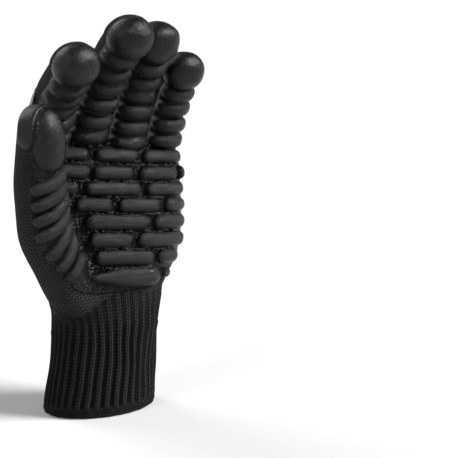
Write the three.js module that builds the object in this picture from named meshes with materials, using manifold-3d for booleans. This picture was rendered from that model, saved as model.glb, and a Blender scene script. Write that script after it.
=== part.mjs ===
// An anti vibration glove for the left hand, open at the cuff, standing as worn with part curled fingers.
// A knitted shell carries a rubber film on the palm, with cushion ribs, fingertip pads and a knuckle pad.
// Millimetres: the cuff's opening is at the origin, fingers +Z, palm -Y, thumb -X.
import * as THREE from "three";
import { mergeVertices } from "three/addons/utils/BufferGeometryUtils.js";
import Module from "manifold-3d";

const wasm = await Module();
wasm.setup();

// Clearances and walls
const GAP = 0.3;
const KNIT_WALL = 2.4;
const HEM_WALL = 3.2;
const FILM = 0.8;

// Cuff
const CUFF_LENGTH = 71;
const CUFF_WIDTH = 69;
const CUFF_DEPTH = 49;
const HEM_HEIGHT = 7;
const CUFF_RIBS = 38;
const CUFF_RIB_HEIGHT = 1.3;

// Palm
const PALM_LENGTH = 92;
const PALM_WIDTH = 100;
const PALM_DEPTH = 46;
const KNUCKLE_DROP = 7;
const THUMB_ROOT = { side: -0.205, front: -0.24, rise: 0.02 };

// Digits
const FINGER_LENGTH = 85.5;
const FINGER_WIDTH = 23.2;
const FINGER_PITCH = 25.5;
const THUMB_LENGTH = 79;
const THUMB_WIDTH = 27.6;
const METACARPAL = 58;

// Rubber
const RIB_PITCH = 10.8;
const RIB_WIDTH = 8.6;
const THUMB_RIB_WIDTH = 8;
const RIB_HEIGHT = 4.4;
const PAD_HEIGHT = 3.4;
const THUMB_PAD_RISE = -1;
const THUMB_PAD_LENGTH = 37;
const THUMB_PAD_WIDTH = 20;
const STRIP_WIDTH = 10.5;
const STRIP_HEIGHT = 2.4;
const KNUCKLE_PAD_WIDTH = 50;
const KNUCKLE_PAD_LENGTH = 31;
const KNUCKLE_PAD_HEIGHT = 3.2;
const KNUCKLE_PAD_RIM = 2.4;

// How finely round shapes are cut: the hollow, which is never seen whole, has fewer sides
const PALM_SIDES = 16;
const DIGIT_SIDES = 10;
const WEB_SIDES = 8;
const HOLLOW_SIDES = { palm: 12, digit: 8, cuff: 20, web: 8 };
const HEM_SIDES = 24;
const DIGIT_STEP = 17;
const HOLLOW_STEP = 24;
const PAD_SIDES = 8;
const PAD_RINGS = 5;
const SECTOR_STEPS = 4;

const knit = { color: 0x17171a, roughness: 0.95, metalness: 0 };
const rubber = { color: 0x1d1c20, roughness: 0.5, metalness: 0 };
const wet = { color: 0x121114, roughness: 0.3, metalness: 0 };

const glove = new THREE.Group();

// Shares: wide and deep of the half width and half depth, side and front of the whole ones.
const cuffRows = [
  { at: 0.0, wide: 1.0, deep: 1.0, side: 0.0, front: 0.0 },
  { at: 0.25, wide: 0.96, deep: 0.985, side: 0.014, front: 0.03 },
  { at: 0.5, wide: 0.928, deep: 0.975, side: 0.029, front: 0.06 },
  { at: 0.76, wide: 0.935, deep: 0.965, side: 0.043, front: 0.08 },
  { at: 0.9, wide: 0.985, deep: 0.95, side: 0.048, front: 0.09 },
  { at: 1.0, wide: 1.06, deep: 0.94, side: 0.05, front: 0.09 },
];
const palmRows = [
  { at: 0.0, wide: 0.732, deep: 1.0, side: 0.035, front: 0.096 },
  { at: 0.12, wide: 0.835, deep: 0.97, side: 0.046, front: 0.1 },
  { at: 0.3, wide: 0.935, deep: 0.91, side: 0.042, front: 0.115 },
  { at: 0.5, wide: 0.985, deep: 0.83, side: 0.034, front: 0.115 },
  { at: 0.72, wide: 1.0, deep: 0.72, side: 0.026, front: 0.11 },
  { at: 0.9, wide: 0.985, deep: 0.61, side: 0.024, front: 0.115 },
  { at: 1.0, wide: 0.87, deep: 0.34, side: 0.024, front: 0.125 },
];
// How square the sections are, where 2 is an ellipse, and where the knuckles stand highest, in finger pitches
const CUFF_SQUARE = 2.0;
const PALM_SQUARE = 2.5;
const KNUCKLE_PEAK = -0.3;
// The share of the cuff's length where its ribs have faded into plain knit, and over how much they fade
const RIB_FADE = { end: 0.97, over: 0.3 };
const POINTS_PER_RIB = 2;
// The hem's bulge and its share up the hem, and the shares of the cuff's length where its tube is cut
const HEM_BULGE = 0.7;
const HEM_BULGE_AT = 0.4;
const CUFF_STEPS = [0.45, 0.78];

// Fingers: rise in palm lengths above the cuff, reach in finger lengths, angles in degrees.
const fingerRows = [
  { name: "index", column: -1.5, rise: 1.022, reach: 0.945, girth: 1.0, lean: -3, curl: [31, 52, 62] },
  { name: "middle", column: -0.5, rise: 1.1, reach: 1.0, girth: 1.0, lean: 8, curl: [27, 39, 67] },
  { name: "ring", column: 0.5, rise: 1.016, reach: 0.92, girth: 0.96, lean: 6.5, curl: [17, 34, 49] },
  { name: "little", column: 1.5, rise: 1.01, reach: 0.68, girth: 0.9, lean: 6, curl: [19, 31, 58] },
];
const FINGER_ROOT = 15;
const ROOT_CURL = 3;
const PHALANGES = [0.455, 0.285, 0.26];
const FINGER_SIDE = 0.023;
const FINGER_FRONT = 0.107;
const FINGER_TAPER = 0.9;
const FINGER_FLAT = 0.96;
const FINGER_CUT = -4;

// Thumb: its metacarpal and two bones, with lengths in thumb lengths and angles in degrees.
const thumbBones = [
  { curl: 22, lean: -35 },
  { share: 0.43, curl: 14, lean: -11 },
  { share: 0.57, curl: 15, lean: -2 },
];
const THUMB_TURN = 22;
const THUMB_TAPER = 0.88;
const THUMB_FLAT = 0.95;
const THUMB_SWELL = 1.5;
const THUMB_CUT = 2;

// Rubber ribs on the palm: across in palm widths from the middle line, rise in palm lengths above the cuff.
// Each row sinks towards the little finger's side by the slope, and is at its rise where it is level.
const RIB_SLOPE = 0.12;
const RIB_LEVEL = 0.05;
const palmRibRows = [
  { rise: 0.92, spans: [[-0.38, -0.135], [-0.095, 0.176], [0.211, 0.485]] },
  { rise: 0.82, spans: [[-0.37, -0.148], [-0.127, 0.133], [0.174, 0.446], [0.462, 0.495]] },
  { rise: 0.718, spans: [[-0.34, -0.22], [-0.182, 0.178], [0.214, 0.49]] },
  { rise: 0.614, spans: [[-0.25, -0.017], [0.02, 0.297], [0.338, 0.49]] },
  { rise: 0.507, spans: [[-0.197, 0.216], [0.252, 0.485]] },
  { rise: 0.392, spans: [[-0.178, 0.095], [0.133, 0.475]] },
  { rise: 0.282, spans: [[-0.148, 0.238], [0.268, 0.425]] },
  { rise: 0.153, spans: [[-0.19, 0.285]], tall: 1.3 },
  { rise: 0.165, spans: [[0.325, 0.38]], tall: 0.66 },
];
// Ribs on the thumb and its ball: place along in thumb lengths, angles in degrees, climb in rib pitches.
const thumbRibRows = [
  { s: 0.5, from: -62, to: 60, climb: 0.7 },
  { s: 0.38, from: -62, to: 60, climb: 0.7 },
  { s: 0.26, from: -62, to: 60, climb: 0.7 },
  { s: 0.14, from: -60, to: 60, climb: 0.75 },
  { s: 0.01, from: -48, to: 56, climb: 0.9 },
  { s: -0.145, from: -42, to: 50, climb: 0.6 },
  { s: -0.3, from: -34, to: 34, climb: 0.3 },
];

// Outline of the palm film, clockwise from the index side: across in palm widths, rise in palm lengths.
const filmOutline = [
  [-0.42, 0.55],
  [-0.44, 1.3],
  [0.7, 1.3],
  [0.7, 0.45],
  [0.5, 0.26],
  [0.4, 0.14],
  [0.31, 0.09],
  [0.13, 0.065],
  [-0.03, 0.06],
  [-0.18, 0.075],
  [-0.28, 0.12],
  [-0.34, 0.2],
];
const FILM_EDGE = 0.14;
const THUMB_FILM_FROM = -0.4;
const THUMB_FILM_ANGLES = [-66, 84];

// Strip: its places along index and thumb with the angle round each, then a fan round the crotch in shares.
const STRIP_INDEX = [
  { at: 0.44, angle: -120 },
  { at: 0.32, angle: -116 },
  { at: 0.14, angle: -108 },
  { at: -0.04, angle: -102 },
];
const STRIP_FAN = [0.2, 0.5, 0.8];
const STRIP_THUMB = [
  { at: 0.3, angle: 112 },
  { at: 0.48, angle: 112 },
  { at: 0.68, angle: 114 },
];
// Round the thumb's tip: turns in degrees from its inner side over the end, tilted to the nail side.
const STRIP_TIP = [
  { turn: 5, tilt: 22 },
  { turn: 45, tilt: 18 },
  { turn: 90, tilt: 14 },
  { turn: 135, tilt: 12 },
  { turn: 175, tilt: 10 },
];
const STRIP_OUTER = [{ at: 0.68, angle: -98 }];
const STRIP_RAY = 0.72;
const STRIP_END = 0.5;
const STRIP_SECTION = [
  [-1, -0.6],
  [-0.62, 0.96],
  [0.62, 0.96],
  [1, -0.6],
];

// Knuckle pad: its centre in palm widths and lengths, and its oval
const KNUCKLE_PAD_AT = [0.17, 0.77];
const OVAL_SIDES = 16;
const OVAL_SQUARE = 2.6;

// Ribs: how deep they sink before they are cut, their arch in half widths and heights, and their ends.
const RIB_SINK = 0.7;
const PALM_RIB_SINK = 1.6;
const RIB_ARCH = [
  [-0.66, 0.94],
  [0.66, 0.94],
];
const GRIP_ARCH = [
  [-0.62, 0.95],
  [0.62, 0.95],
];
const RIB_END_FULL = 0.6;
const RIB_END_ROUND = 0.35;
const RIB_END_MOST = 0.4;
const LONG_RIB = 3;
const RAY_STEP = 0.06;
// Finger ribs bend where the finger's facets do.
const GRIP_STATIONS = [
  { facet: -2, full: 0.7, high: 0.3 },
  { facet: -1, full: 1, high: 0.86 },
  { facet: 0, full: 1, high: 1 },
  { facet: 1, full: 1, high: 0.86 },
  { facet: 2, full: 0.7, high: 0.3 },
];
const GRIP_HALF_ANGLE = 78;
const PAD_CLEAR = 0.3;
// Fingertip pads: length in fingertip widths, then extra width and rise over the end in pad heights.
const FINGER_PAD = { long: 1.275, wide: 1.4, rise: 0.7 };
const PAD_TILT = 30;
const PAD_WRAP = 0.35;

const solidOf = (geometry) => {
  const bare = geometry.clone();
  bare.deleteAttribute("normal");
  bare.deleteAttribute("uv");
  const merged = mergeVertices(bare, 1e-4);
  return new wasm.Manifold(
    new wasm.Mesh({
      numProp: 3,
      vertProperties: new Float32Array(merged.attributes.position.array),
      triVerts: new Uint32Array(merged.index.array),
    }),
  );
};

const geometryOf = (solid) => {
  const mesh = solid.getMesh();
  const geometry = new THREE.BufferGeometry();
  geometry.setAttribute("position", new THREE.BufferAttribute(mesh.vertProperties, 3));
  geometry.setIndex(new THREE.BufferAttribute(mesh.triVerts, 1));
  geometry.computeVertexNormals();
  return geometry;
};

// The largest body of a solid, without the crumbs that a cut can leave.
const largest = (solid) =>
  solid.decompose().reduce((best, body) => (body.volume() > best.volume() ? body : best));

const add = (name, solid, look) => {
  const mesh = new THREE.Mesh(geometryOf(largest(solid)), new THREE.MeshStandardMaterial(look));
  mesh.name = name;
  glove.add(mesh);
};

// A closed solid through rings of points, each ring with as many points, closed by a fan at each end.
const loft = (rings) => {
  const sides = rings[0].length;
  const centre = (ring) => ring.reduce((sum, p) => sum.add(p), new THREE.Vector3()).divideScalar(sides);
  const points = rings.flat();
  const triangles = [];
  for (let i = 0; i < rings.length - 1; i++) {
    for (let k = 0; k < sides; k++) {
      const a = i * sides + k;
      const b = i * sides + ((k + 1) % sides);
      triangles.push(a, b, a + sides, b, b + sides, a + sides);
    }
  }
  const first = points.length;
  points.push(centre(rings[0]), centre(rings.at(-1)));
  const top = (rings.length - 1) * sides;
  for (let k = 0; k < sides; k++) {
    const next = (k + 1) % sides;
    triangles.push(first, next, k, first + 1, top + k, top + next);
  }
  const volume = triangles.reduce((sum, _, i) => {
    if (i % 3) return sum;
    const [a, b, c] = [0, 1, 2].map((k) => points[triangles[i + k]]);
    return sum + a.dot(b.clone().cross(c));
  }, 0);
  const geometry = new THREE.BufferGeometry().setFromPoints(points);
  geometry.setIndex(volume > 0 ? triangles : triangles.reverse());
  return solidOf(geometry);
};

const lerpRow = (rows, at) => {
  const i = Math.min(Math.max(rows.findIndex((row) => row.at >= at), 1), rows.length - 1);
  const t = (at - rows[i - 1].at) / (rows[i].at - rows[i - 1].at);
  return Object.fromEntries(
    Object.keys(rows[i]).map((key) => [key, rows[i - 1][key] + t * (rows[i][key] - rows[i - 1][key])]),
  );
};

// A rounded section at an angle round it: square 2 is an ellipse, more is boxier.
const roundPoint = (angle, wide, deep, square) => {
  const power = (value) => Math.sign(value) * Math.abs(value) ** (2 / square);
  return [wide * power(Math.cos(angle)), deep * power(Math.sin(angle))];
};

// Cuff: the hem and the ribbed tube share one run of sections.
const cuffRing = (z, sides, out) => {
  const row = lerpRow(cuffRows, z / CUFF_LENGTH);
  return Array.from({ length: sides }, (_, k) => {
    const extra = out(k);
    const wide = (row.wide * CUFF_WIDTH) / 2 + extra;
    const deep = (row.deep * CUFF_DEPTH) / 2 + extra;
    const [x, y] = roundPoint((2 * Math.PI * k) / sides, wide, deep, CUFF_SQUARE);
    return new THREE.Vector3(x + row.side * CUFF_WIDTH, y - row.front * CUFF_DEPTH, z);
  });
};
const ribFade = (z) => THREE.MathUtils.clamp((RIB_FADE.end - z / CUFF_LENGTH) / RIB_FADE.over, 0, 1);
const hemRings = [
  { z: 0, out: 0 },
  { z: HEM_BULGE_AT * HEM_HEIGHT, out: HEM_BULGE },
  { z: HEM_HEIGHT, out: 0 },
];
const hem = loft(hemRings.map(({ z, out }) => cuffRing(z, HEM_SIDES, () => out)));
const hemHollow = loft(
  [-1, HEM_HEIGHT + 1].map((z) => cuffRing(z, HOLLOW_SIDES.cuff, () => -HEM_WALL)),
);
add("cuff_hem", hem.subtract(hemHollow), knit);

const ribProfile = (z) => (k) => (k % POINTS_PER_RIB === 0 ? 0 : CUFF_RIB_HEIGHT * ribFade(z));
const cuffLevels = [HEM_HEIGHT + GAP, ...CUFF_STEPS.map((share) => share * CUFF_LENGTH), CUFF_LENGTH];
const ribbed = loft(cuffLevels.map((z) => cuffRing(z, CUFF_RIBS * POINTS_PER_RIB, ribProfile(z))));
const cuffHollow = loft(
  [HEM_HEIGHT - 1, ...cuffLevels.slice(1, -1), CUFF_LENGTH + 1].map((z) =>
    cuffRing(z, HOLLOW_SIDES.cuff, () => -KNIT_WALL),
  ),
);
add("cuff_ribbed", ribbed.subtract(cuffHollow), knit);

// Palm: sections whose top ones drop towards the little finger and the index.
const palmRing = (row, extra, lift) => {
  const middle = FINGER_SIDE * PALM_WIDTH + KNUCKLE_PEAK * FINGER_PITCH;
  const sides = extra < 0 ? HOLLOW_SIDES.palm : PALM_SIDES;
  return Array.from({ length: sides }, (_, k) => {
    const wide = (row.wide * PALM_WIDTH) / 2 + extra;
    const deep = (row.deep * PALM_DEPTH) / 2 + extra;
    const [x, y] = roundPoint((2 * Math.PI * k) / sides, wide, deep, PALM_SQUARE);
    const across = x + row.side * PALM_WIDTH;
    const drop = KNUCKLE_DROP * row.at ** 3 * ((across - middle) / (PALM_WIDTH / 2)) ** 2;
    const z = CUFF_LENGTH + row.at * PALM_LENGTH - drop + lift;
    return new THREE.Vector3(across, y - row.front * PALM_DEPTH, z);
  });
};
const palmSolid = (extra) => {
  const rings = palmRows.map((row) => palmRing(row, extra, row === palmRows.at(-1) ? extra : 0));
  const foot = extra < 0 ? -1 : GAP;
  rings[0].forEach((point) => (point.z += foot));
  return loft(rings);
};

// A digit is a run of straight bones with smooth bends. Its frame has along, palm and side.
const BEND = 9;
const STEPS = 160;
const digitOf = ({ name, root, bones, palmward, radius, taper, flat, cut, swell = 1 }) => {
  const before = bones[0].length;
  const total = bones.reduce((sum, bone) => sum + bone.length, 0);
  const turn = (reached, key) =>
    bones.slice(1).reduce((sum, bone, i) => {
      const joint = bones.slice(0, i + 1).reduce((s, b) => s + b.length, 0);
      const share = THREE.MathUtils.smoothstep(reached, joint - BEND, joint + BEND);
      return sum + share * (bone[key] - bones[i][key]);
    }, bones[0][key]);
  const heading = (reached) => {
    const curl = THREE.MathUtils.degToRad(turn(reached, "curl"));
    const lean = THREE.MathUtils.degToRad(turn(reached, "lean"));
    return new THREE.Vector3(
      Math.sin(lean) * Math.cos(curl),
      -Math.sin(curl),
      Math.cos(lean) * Math.cos(curl),
    );
  };
  const step = total / STEPS;
  const points = [root.clone()];
  for (let i = 0; i < STEPS; i++) {
    points.push(points[i].clone().addScaledVector(heading((i + 0.5) * step), step));
  }
  // at(s): s is measured from the digit's base, so the root inside the palm has s below 0. It runs on
  // straight past both ends.
  const at = (s) => {
    const reached = THREE.MathUtils.clamp((s + before) / step, 0, STEPS);
    const i = Math.min(Math.floor(reached), STEPS - 1);
    const along = heading(s + before);
    const palm = palmward.clone().addScaledVector(along, -palmward.dot(along)).normalize();
    const past = s + before - reached * step;
    return {
      point: points[i].clone().lerp(points[i + 1], reached - i).addScaledVector(along, past),
      along,
      palm,
      side: along.clone().cross(palm),
    };
  };
  const length = total - before;
  const width = (s) => {
    const share = s > 0 ? THREE.MathUtils.lerp(1, taper, s / length) : 1 + (swell - 1) * (s / before) ** 2;
    return radius * share;
  };
  return { name, at, length, before, width, flat, cut };
};

// A point at an angle from the digit's palm side, towards its side vector.
const onDigit = (digit, s, angle, distance) => {
  const { point, palm, side } = digit.at(s);
  return point
    .addScaledVector(palm, distance * Math.cos(angle) * digit.flat)
    .addScaledVector(side, distance * Math.sin(angle));
};

// Stations along a digit: even ones up to the tip's round, then its round by angles.
const TIP_ANGLES = [0.6, 1.2];
const digitSolid = (digit, extra) => {
  const end = digit.width(digit.length);
  const straight = digit.length - end;
  const sides = extra < 0 ? HOLLOW_SIDES.digit : DIGIT_SIDES;
  const step = extra < 0 ? HOLLOW_STEP : DIGIT_STEP;
  const count = Math.round((straight + digit.before) / step);
  const stations = Array.from({ length: count + 1 }, (_, i) => {
    const s = -digit.before + ((straight + digit.before) * i) / count;
    return { s, r: digit.width(s) + extra };
  });
  for (const angle of TIP_ANGLES) {
    stations.push({
      s: straight + (end + extra) * Math.sin(angle),
      r: (end + extra) * Math.cos(angle),
    });
  }
  if (extra < 0) stations[0].s -= KNIT_WALL;
  const rings = stations.map(({ s, r }) =>
    Array.from({ length: sides }, (_, k) => onDigit(digit, s, (2 * Math.PI * k) / sides, r)),
  );
  return loft(rings);
};

const fingers = fingerRows.map((row) => {
  const base = new THREE.Vector3(
    FINGER_SIDE * PALM_WIDTH + row.column * FINGER_PITCH,
    -FINGER_FRONT * PALM_DEPTH,
    CUFF_LENGTH + row.rise * PALM_LENGTH,
  );
  const bones = [{ length: FINGER_ROOT, curl: ROOT_CURL, lean: row.lean / 2 }];
  PHALANGES.forEach((share, i) =>
    bones.push({ length: share * row.reach * FINGER_LENGTH, curl: row.curl[i], lean: row.lean }),
  );
  const curl = THREE.MathUtils.degToRad(ROOT_CURL);
  const lean = THREE.MathUtils.degToRad(row.lean / 2);
  const back = new THREE.Vector3(Math.sin(lean) * Math.cos(curl), -Math.sin(curl), Math.cos(curl));
  return digitOf({
    name: row.name,
    root: base.clone().addScaledVector(back, -FINGER_ROOT),
    bones,
    palmward: new THREE.Vector3(0, -1, 0),
    radius: (row.girth * FINGER_WIDTH) / 2,
    taper: FINGER_TAPER,
    flat: FINGER_FLAT,
    cut: FINGER_CUT,
  });
});

const thumbTurn = THREE.MathUtils.degToRad(THUMB_TURN);
const thumb = digitOf({
  name: "thumb",
  root: new THREE.Vector3(
    THUMB_ROOT.side * PALM_WIDTH,
    THUMB_ROOT.front * PALM_DEPTH,
    CUFF_LENGTH + THUMB_ROOT.rise * PALM_LENGTH,
  ),
  bones: thumbBones.map(({ share, curl, lean }) => ({
    length: share ? share * THUMB_LENGTH : METACARPAL,
    curl,
    lean,
  })),
  palmward: new THREE.Vector3(Math.sin(thumbTurn), -Math.cos(thumbTurn), 0),
  radius: THUMB_WIDTH / 2,
  taper: THUMB_TAPER,
  flat: THUMB_FLAT,
  cut: THUMB_CUT,
  swell: THUMB_SWELL,
});
const digits = [...fingers, thumb];

// The web between thumb and palm: level sections, each round two discs, one in the palm and one in the thumb.
const webRows = [
  { thumb: -0.85, palm: -0.16, reach: 1.0, thick: 1.1, inner: 0.7 },
  { thumb: -0.35, palm: -0.24, reach: 1.0, thick: 0.93, inner: 0.66 },
  { thumb: 0.0, palm: -0.32, reach: 0.95, thick: 0.74, inner: 0.54 },
  { thumb: 0.13, palm: -0.37, reach: 0.72, thick: 0.52, inner: 0.44 },
  { thumb: 0.22, palm: -0.4, reach: 0.3, thick: 0.25, inner: 0.25 },
];
const WEB_FRONT = -0.13;
const webSolid = (extra) => {
  const sides = extra < 0 ? HOLLOW_SIDES.web : WEB_SIDES;
  const rings = webRows.map((row) => {
    const far = thumb.at(row.thumb * METACARPAL).point;
    const near = new THREE.Vector3(row.palm * PALM_WIDTH, WEB_FRONT * PALM_DEPTH, far.z);
    const tip = near.clone().lerp(far, row.reach);
    const bearing = Math.atan2(tip.y - near.y, tip.x - near.x);
    return Array.from({ length: sides }, (_, k) => {
      const turn = (2 * Math.PI * (k + 0.5)) / sides;
      const outer = Math.cos(turn) > 0;
      const r = (outer ? row.thick * THUMB_WIDTH : row.inner * PALM_DEPTH) / 2 + extra;
      return new THREE.Vector3(Math.cos(turn + bearing), Math.sin(turn + bearing), 0)
        .multiplyScalar(r)
        .add(outer ? tip : near);
    });
  });
  return loft(rings);
};

// The whole hand's skin, moved out by a distance: below 0 it is the hollow, above 0 what lies on the knit.
const skins = new Map();
const skin = (extra) => {
  if (!skins.has(extra)) {
    const parts = [palmSolid(extra), webSolid(extra), ...digits.map((digit) => digitSolid(digit, extra))];
    skins.set(extra, wasm.Manifold.union(parts));
  }
  return skins.get(extra);
};
const HOLLOW = -KNIT_WALL;
const UNDER_FILM = GAP;
const FILM_TOP = GAP + FILM;
const UNDER_RIB = FILM_TOP + GAP;

// A block that holds all of a digit beyond a cut across it.
const BLOCK = 2 * FINGER_LENGTH;
const beyond = (digit, s) => {
  const { point, along, side } = digit.at(s);
  const block = new THREE.BoxGeometry(BLOCK, BLOCK, BLOCK).translate(0, 0, BLOCK / 2);
  const frame = new THREE.Matrix4().makeBasis(side, along.clone().cross(side), along);
  return solidOf(block.applyMatrix4(frame.setPosition(point)));
};

// Knit: the skin less its hollow, cut into the palm and five tubes.
const tubes = digits.map((digit) => digitSolid(digit, 0).intersect(beyond(digit, digit.cut + GAP)));
digits.forEach((digit, i) => add(digit.name + "_knit", tubes[i].subtract(skin(HOLLOW)), knit));
const palmParts = digits.map((digit) => digitSolid(digit, 0).subtract(beyond(digit, digit.cut)));
const palmClear = digits.map((digit, i) =>
  digitSolid(digit, GAP).intersect(beyond(digit, digit.cut)),
);
const aboveCuff = solidOf(
  new THREE.BoxGeometry(BLOCK, BLOCK, BLOCK).translate(0, 0, CUFF_LENGTH + GAP + BLOCK / 2),
);
const palm = wasm.Manifold.union([palmSolid(0), webSolid(0), ...palmParts])
  .subtract(wasm.Manifold.union(palmClear))
  .intersect(aboveCuff);
add("palm_knit", palm.subtract(skin(HOLLOW)), knit);

// Film: a thin layer on the palm and on the thumb's inner face, cut where the fingers begin.
const prism = (outline, from, to) => {
  const shape = new THREE.Shape(outline.map(([x, z]) => new THREE.Vector2(x, z)));
  const block = new THREE.ExtrudeGeometry(shape, { depth: to - from, bevelEnabled: false });
  return solidOf(block.rotateX(Math.PI / 2).translate(0, to, 0));
};
const palmPoint = ([across, rise]) => [across * PALM_WIDTH, CUFF_LENGTH + rise * PALM_LENGTH];

// All that lies within a range of angles round a digit, between two places along it.
const sector = (digit, from, to, angles) => {
  const count = Math.max(2, Math.round((to - from) / DIGIT_STEP));
  const rings = Array.from({ length: count + 1 }, (_, i) => {
    const s = from + ((to - from) * i) / count;
    const rim = Array.from({ length: SECTOR_STEPS + 1 }, (_, k) => {
      const angle = THREE.MathUtils.lerp(angles[0], angles[1], k / SECTOR_STEPS);
      return onDigit(digit, s, THREE.MathUtils.degToRad(angle), FINGER_WIDTH);
    });
    return [digit.at(s).point, ...rim];
  });
  return loft(rings);
};

// A cushion rib through stations, each a point on the surface with the way out and the way across the rib,
// and how full the rib is there.
const ribSolid = (stations, width, height, sink, section = RIB_ARCH) => {
  const rings = stations.map(({ point, out, across, full, high = full }) => {
    const offset = (a, b) => point.clone().addScaledVector(across, a).addScaledVector(out, b);
    const half = (width / 2) * full;
    const arch = section.map(([a, b]) => offset(a * half, b * height * high));
    return [offset(-half, -sink), ...arch, offset(half, -sink)];
  });
  return loft(rings);
};

// Fingertip pads: an egg set into the palm side of the tip, its size from the tip's own radius.
const tipEgg = (digit, { long, wide, deep, rise, high }, grow) => {
  const { point, along, palm, side } = digit.at(digit.length - long / 2 + rise);
  const r = digit.width(digit.length);
  const egg = new THREE.SphereGeometry(1, PAD_SIDES, PAD_RINGS);
  egg.scale(wide / 2 + grow, deep / 2 + grow, long / 2 + grow);
  const frame = new THREE.Matrix4().makeBasis(side.clone().negate(), palm, along);
  const shift = r * digit.flat + high - deep / 2;
  return solidOf(egg.applyMatrix4(frame.setPosition(point.addScaledVector(palm, shift))));
};
const padSizes = digits.map((digit) => {
  const across = 2 * digit.width(digit.length);
  return digit === thumb
    ? {
        long: THUMB_PAD_LENGTH,
        wide: THUMB_PAD_WIDTH,
        deep: THUMB_PAD_WIDTH,
        rise: THUMB_PAD_RISE,
        high: THUMB_PAD_WIDTH / 2,
      }
    : {
        long: FINGER_PAD.long * across,
        wide: across + FINGER_PAD.wide * PAD_HEIGHT,
        deep: across + PAD_HEIGHT,
        rise: FINGER_PAD.rise * PAD_HEIGHT,
        high: PAD_HEIGHT,
      };
});
// A block on the palm side of a digit's tip, its face tilted so that a pad wraps over the end.
const palmSide = (digit) => {
  const r = digit.width(digit.length);
  const { point, along, palm, side } = digit.at(digit.length - r);
  const tilt = THREE.MathUtils.degToRad(PAD_TILT);
  const up = palm.clone().multiplyScalar(Math.cos(tilt)).addScaledVector(along, Math.sin(tilt));
  const block = new THREE.BoxGeometry(BLOCK, BLOCK, BLOCK).translate(0, 0, BLOCK / 2);
  const frame = new THREE.Matrix4().makeBasis(side, up.clone().cross(side), up);
  return solidOf(block.applyMatrix4(frame.setPosition(point.addScaledVector(up, -PAD_WRAP * r))));
};
fingers.forEach((digit, i) => {
  const pad = tipEgg(digit, padSizes[i], 0).subtract(skin(UNDER_FILM)).intersect(palmSide(digit));
  add(digit.name + "_tip_pad", pad, rubber);
});
// The thumb's pad lies on the film and is as thick all over.
const thumbEgg = tipEgg(thumb, padSizes.at(-1), 0).intersect(palmSide(thumb));
add("thumb_tip_pad", thumbEgg.intersect(skin(FILM_TOP + PAD_HEIGHT)).subtract(skin(UNDER_RIB)), rubber);
const padStart = (i) => digits[i].length - padSizes[i].long + padSizes[i].rise;

// Finger grips: a strip of film with its ribs, moulded as one.
const gripRib = (digit, s) => {
  const stations = GRIP_STATIONS.map(({ facet, full, high }) => {
    const angle = (2 * Math.PI * facet) / DIGIT_SIDES;
    const reach = digit.width(s) + FILM_TOP;
    const point = onDigit(digit, s, angle, reach);
    const out = onDigit(digit, s, angle, reach + 1).sub(point).normalize();
    return { point, out, across: digit.at(s).along, full, high };
  });
  return ribSolid(stations, RIB_WIDTH, RIB_HEIGHT, RIB_SINK, GRIP_ARCH);
};
const fingerPieces = fingers.map((digit) => beyond(digit, FINGER_CUT));

// Where a ray from outside first meets the film, for what lies on it.
const target = new THREE.Mesh(geometryOf(skin(FILM_TOP)), new THREE.MeshBasicMaterial());
const meet = (from, direction) => {
  const hit = new THREE.Raycaster(from, direction.clone().normalize()).intersectObject(target)[0];
  return hit && hit.point;
};

// A rib by rays: cast(t, offset) meets the film at share t along the rib, offset across it.
const castRib = (cast, width) => {
  const ends = cast(0, 0).distanceTo(cast(0.5, 0)) + cast(0.5, 0).distanceTo(cast(1, 0));
  const round = Math.min((RIB_END_ROUND * width) / ends, RIB_END_MOST);
  const middle = ends > LONG_RIB * width ? [0.5] : [];
  const stations = [0, round, ...middle, 1 - round, 1].map((t) => {
    const point = cast(t, 0);
    const across = cast(t, width / 4).sub(cast(t, -width / 4)).normalize();
    const run = cast(Math.min(t + RAY_STEP, 1), 0).sub(cast(Math.max(t - RAY_STEP, 0), 0)).normalize();
    return { point, across, out: run.cross(across).normalize(), full: t % 1 ? 1 : RIB_END_FULL };
  });
  return ribSolid(stations, width, RIB_HEIGHT, PALM_RIB_SINK)
    .subtract(skin(UNDER_RIB))
    .subtract(wasm.Manifold.union(fingerPieces));
};

palmRibRows.forEach(({ rise, spans, tall = 1 }, row) => {
  spans.forEach(([left, right], i) => {
    const cast = (t, offset) => {
      const across = THREE.MathUtils.lerp(left, right, t);
      const [x, z] = palmPoint([across, rise - RIB_SLOPE * (across - RIB_LEVEL)]);
      return meet(new THREE.Vector3(x, -2 * PALM_DEPTH, z + offset), new THREE.Vector3(0, 1, 0));
    };
    add("palm_rib_" + (row + 1) + "abcd"[i], castRib(cast, RIB_WIDTH * tall), rubber);
  });
});
thumbRibRows.forEach(({ s, from, to, climb }, row) => {
  const cast = (t, offset) => {
    const angle = THREE.MathUtils.degToRad(THREE.MathUtils.lerp(from, to, t));
    const place = s * THUMB_LENGTH + (t - 0.5) * climb * RIB_PITCH + offset;
    const outside = onDigit(thumb, place, angle, 3 * THUMB_WIDTH);
    return meet(outside, thumb.at(place).point.sub(outside));
  };
  add("thumb_rib_" + (row + 1), castRib(cast, THUMB_RIB_WIDTH), rubber);
});

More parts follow.
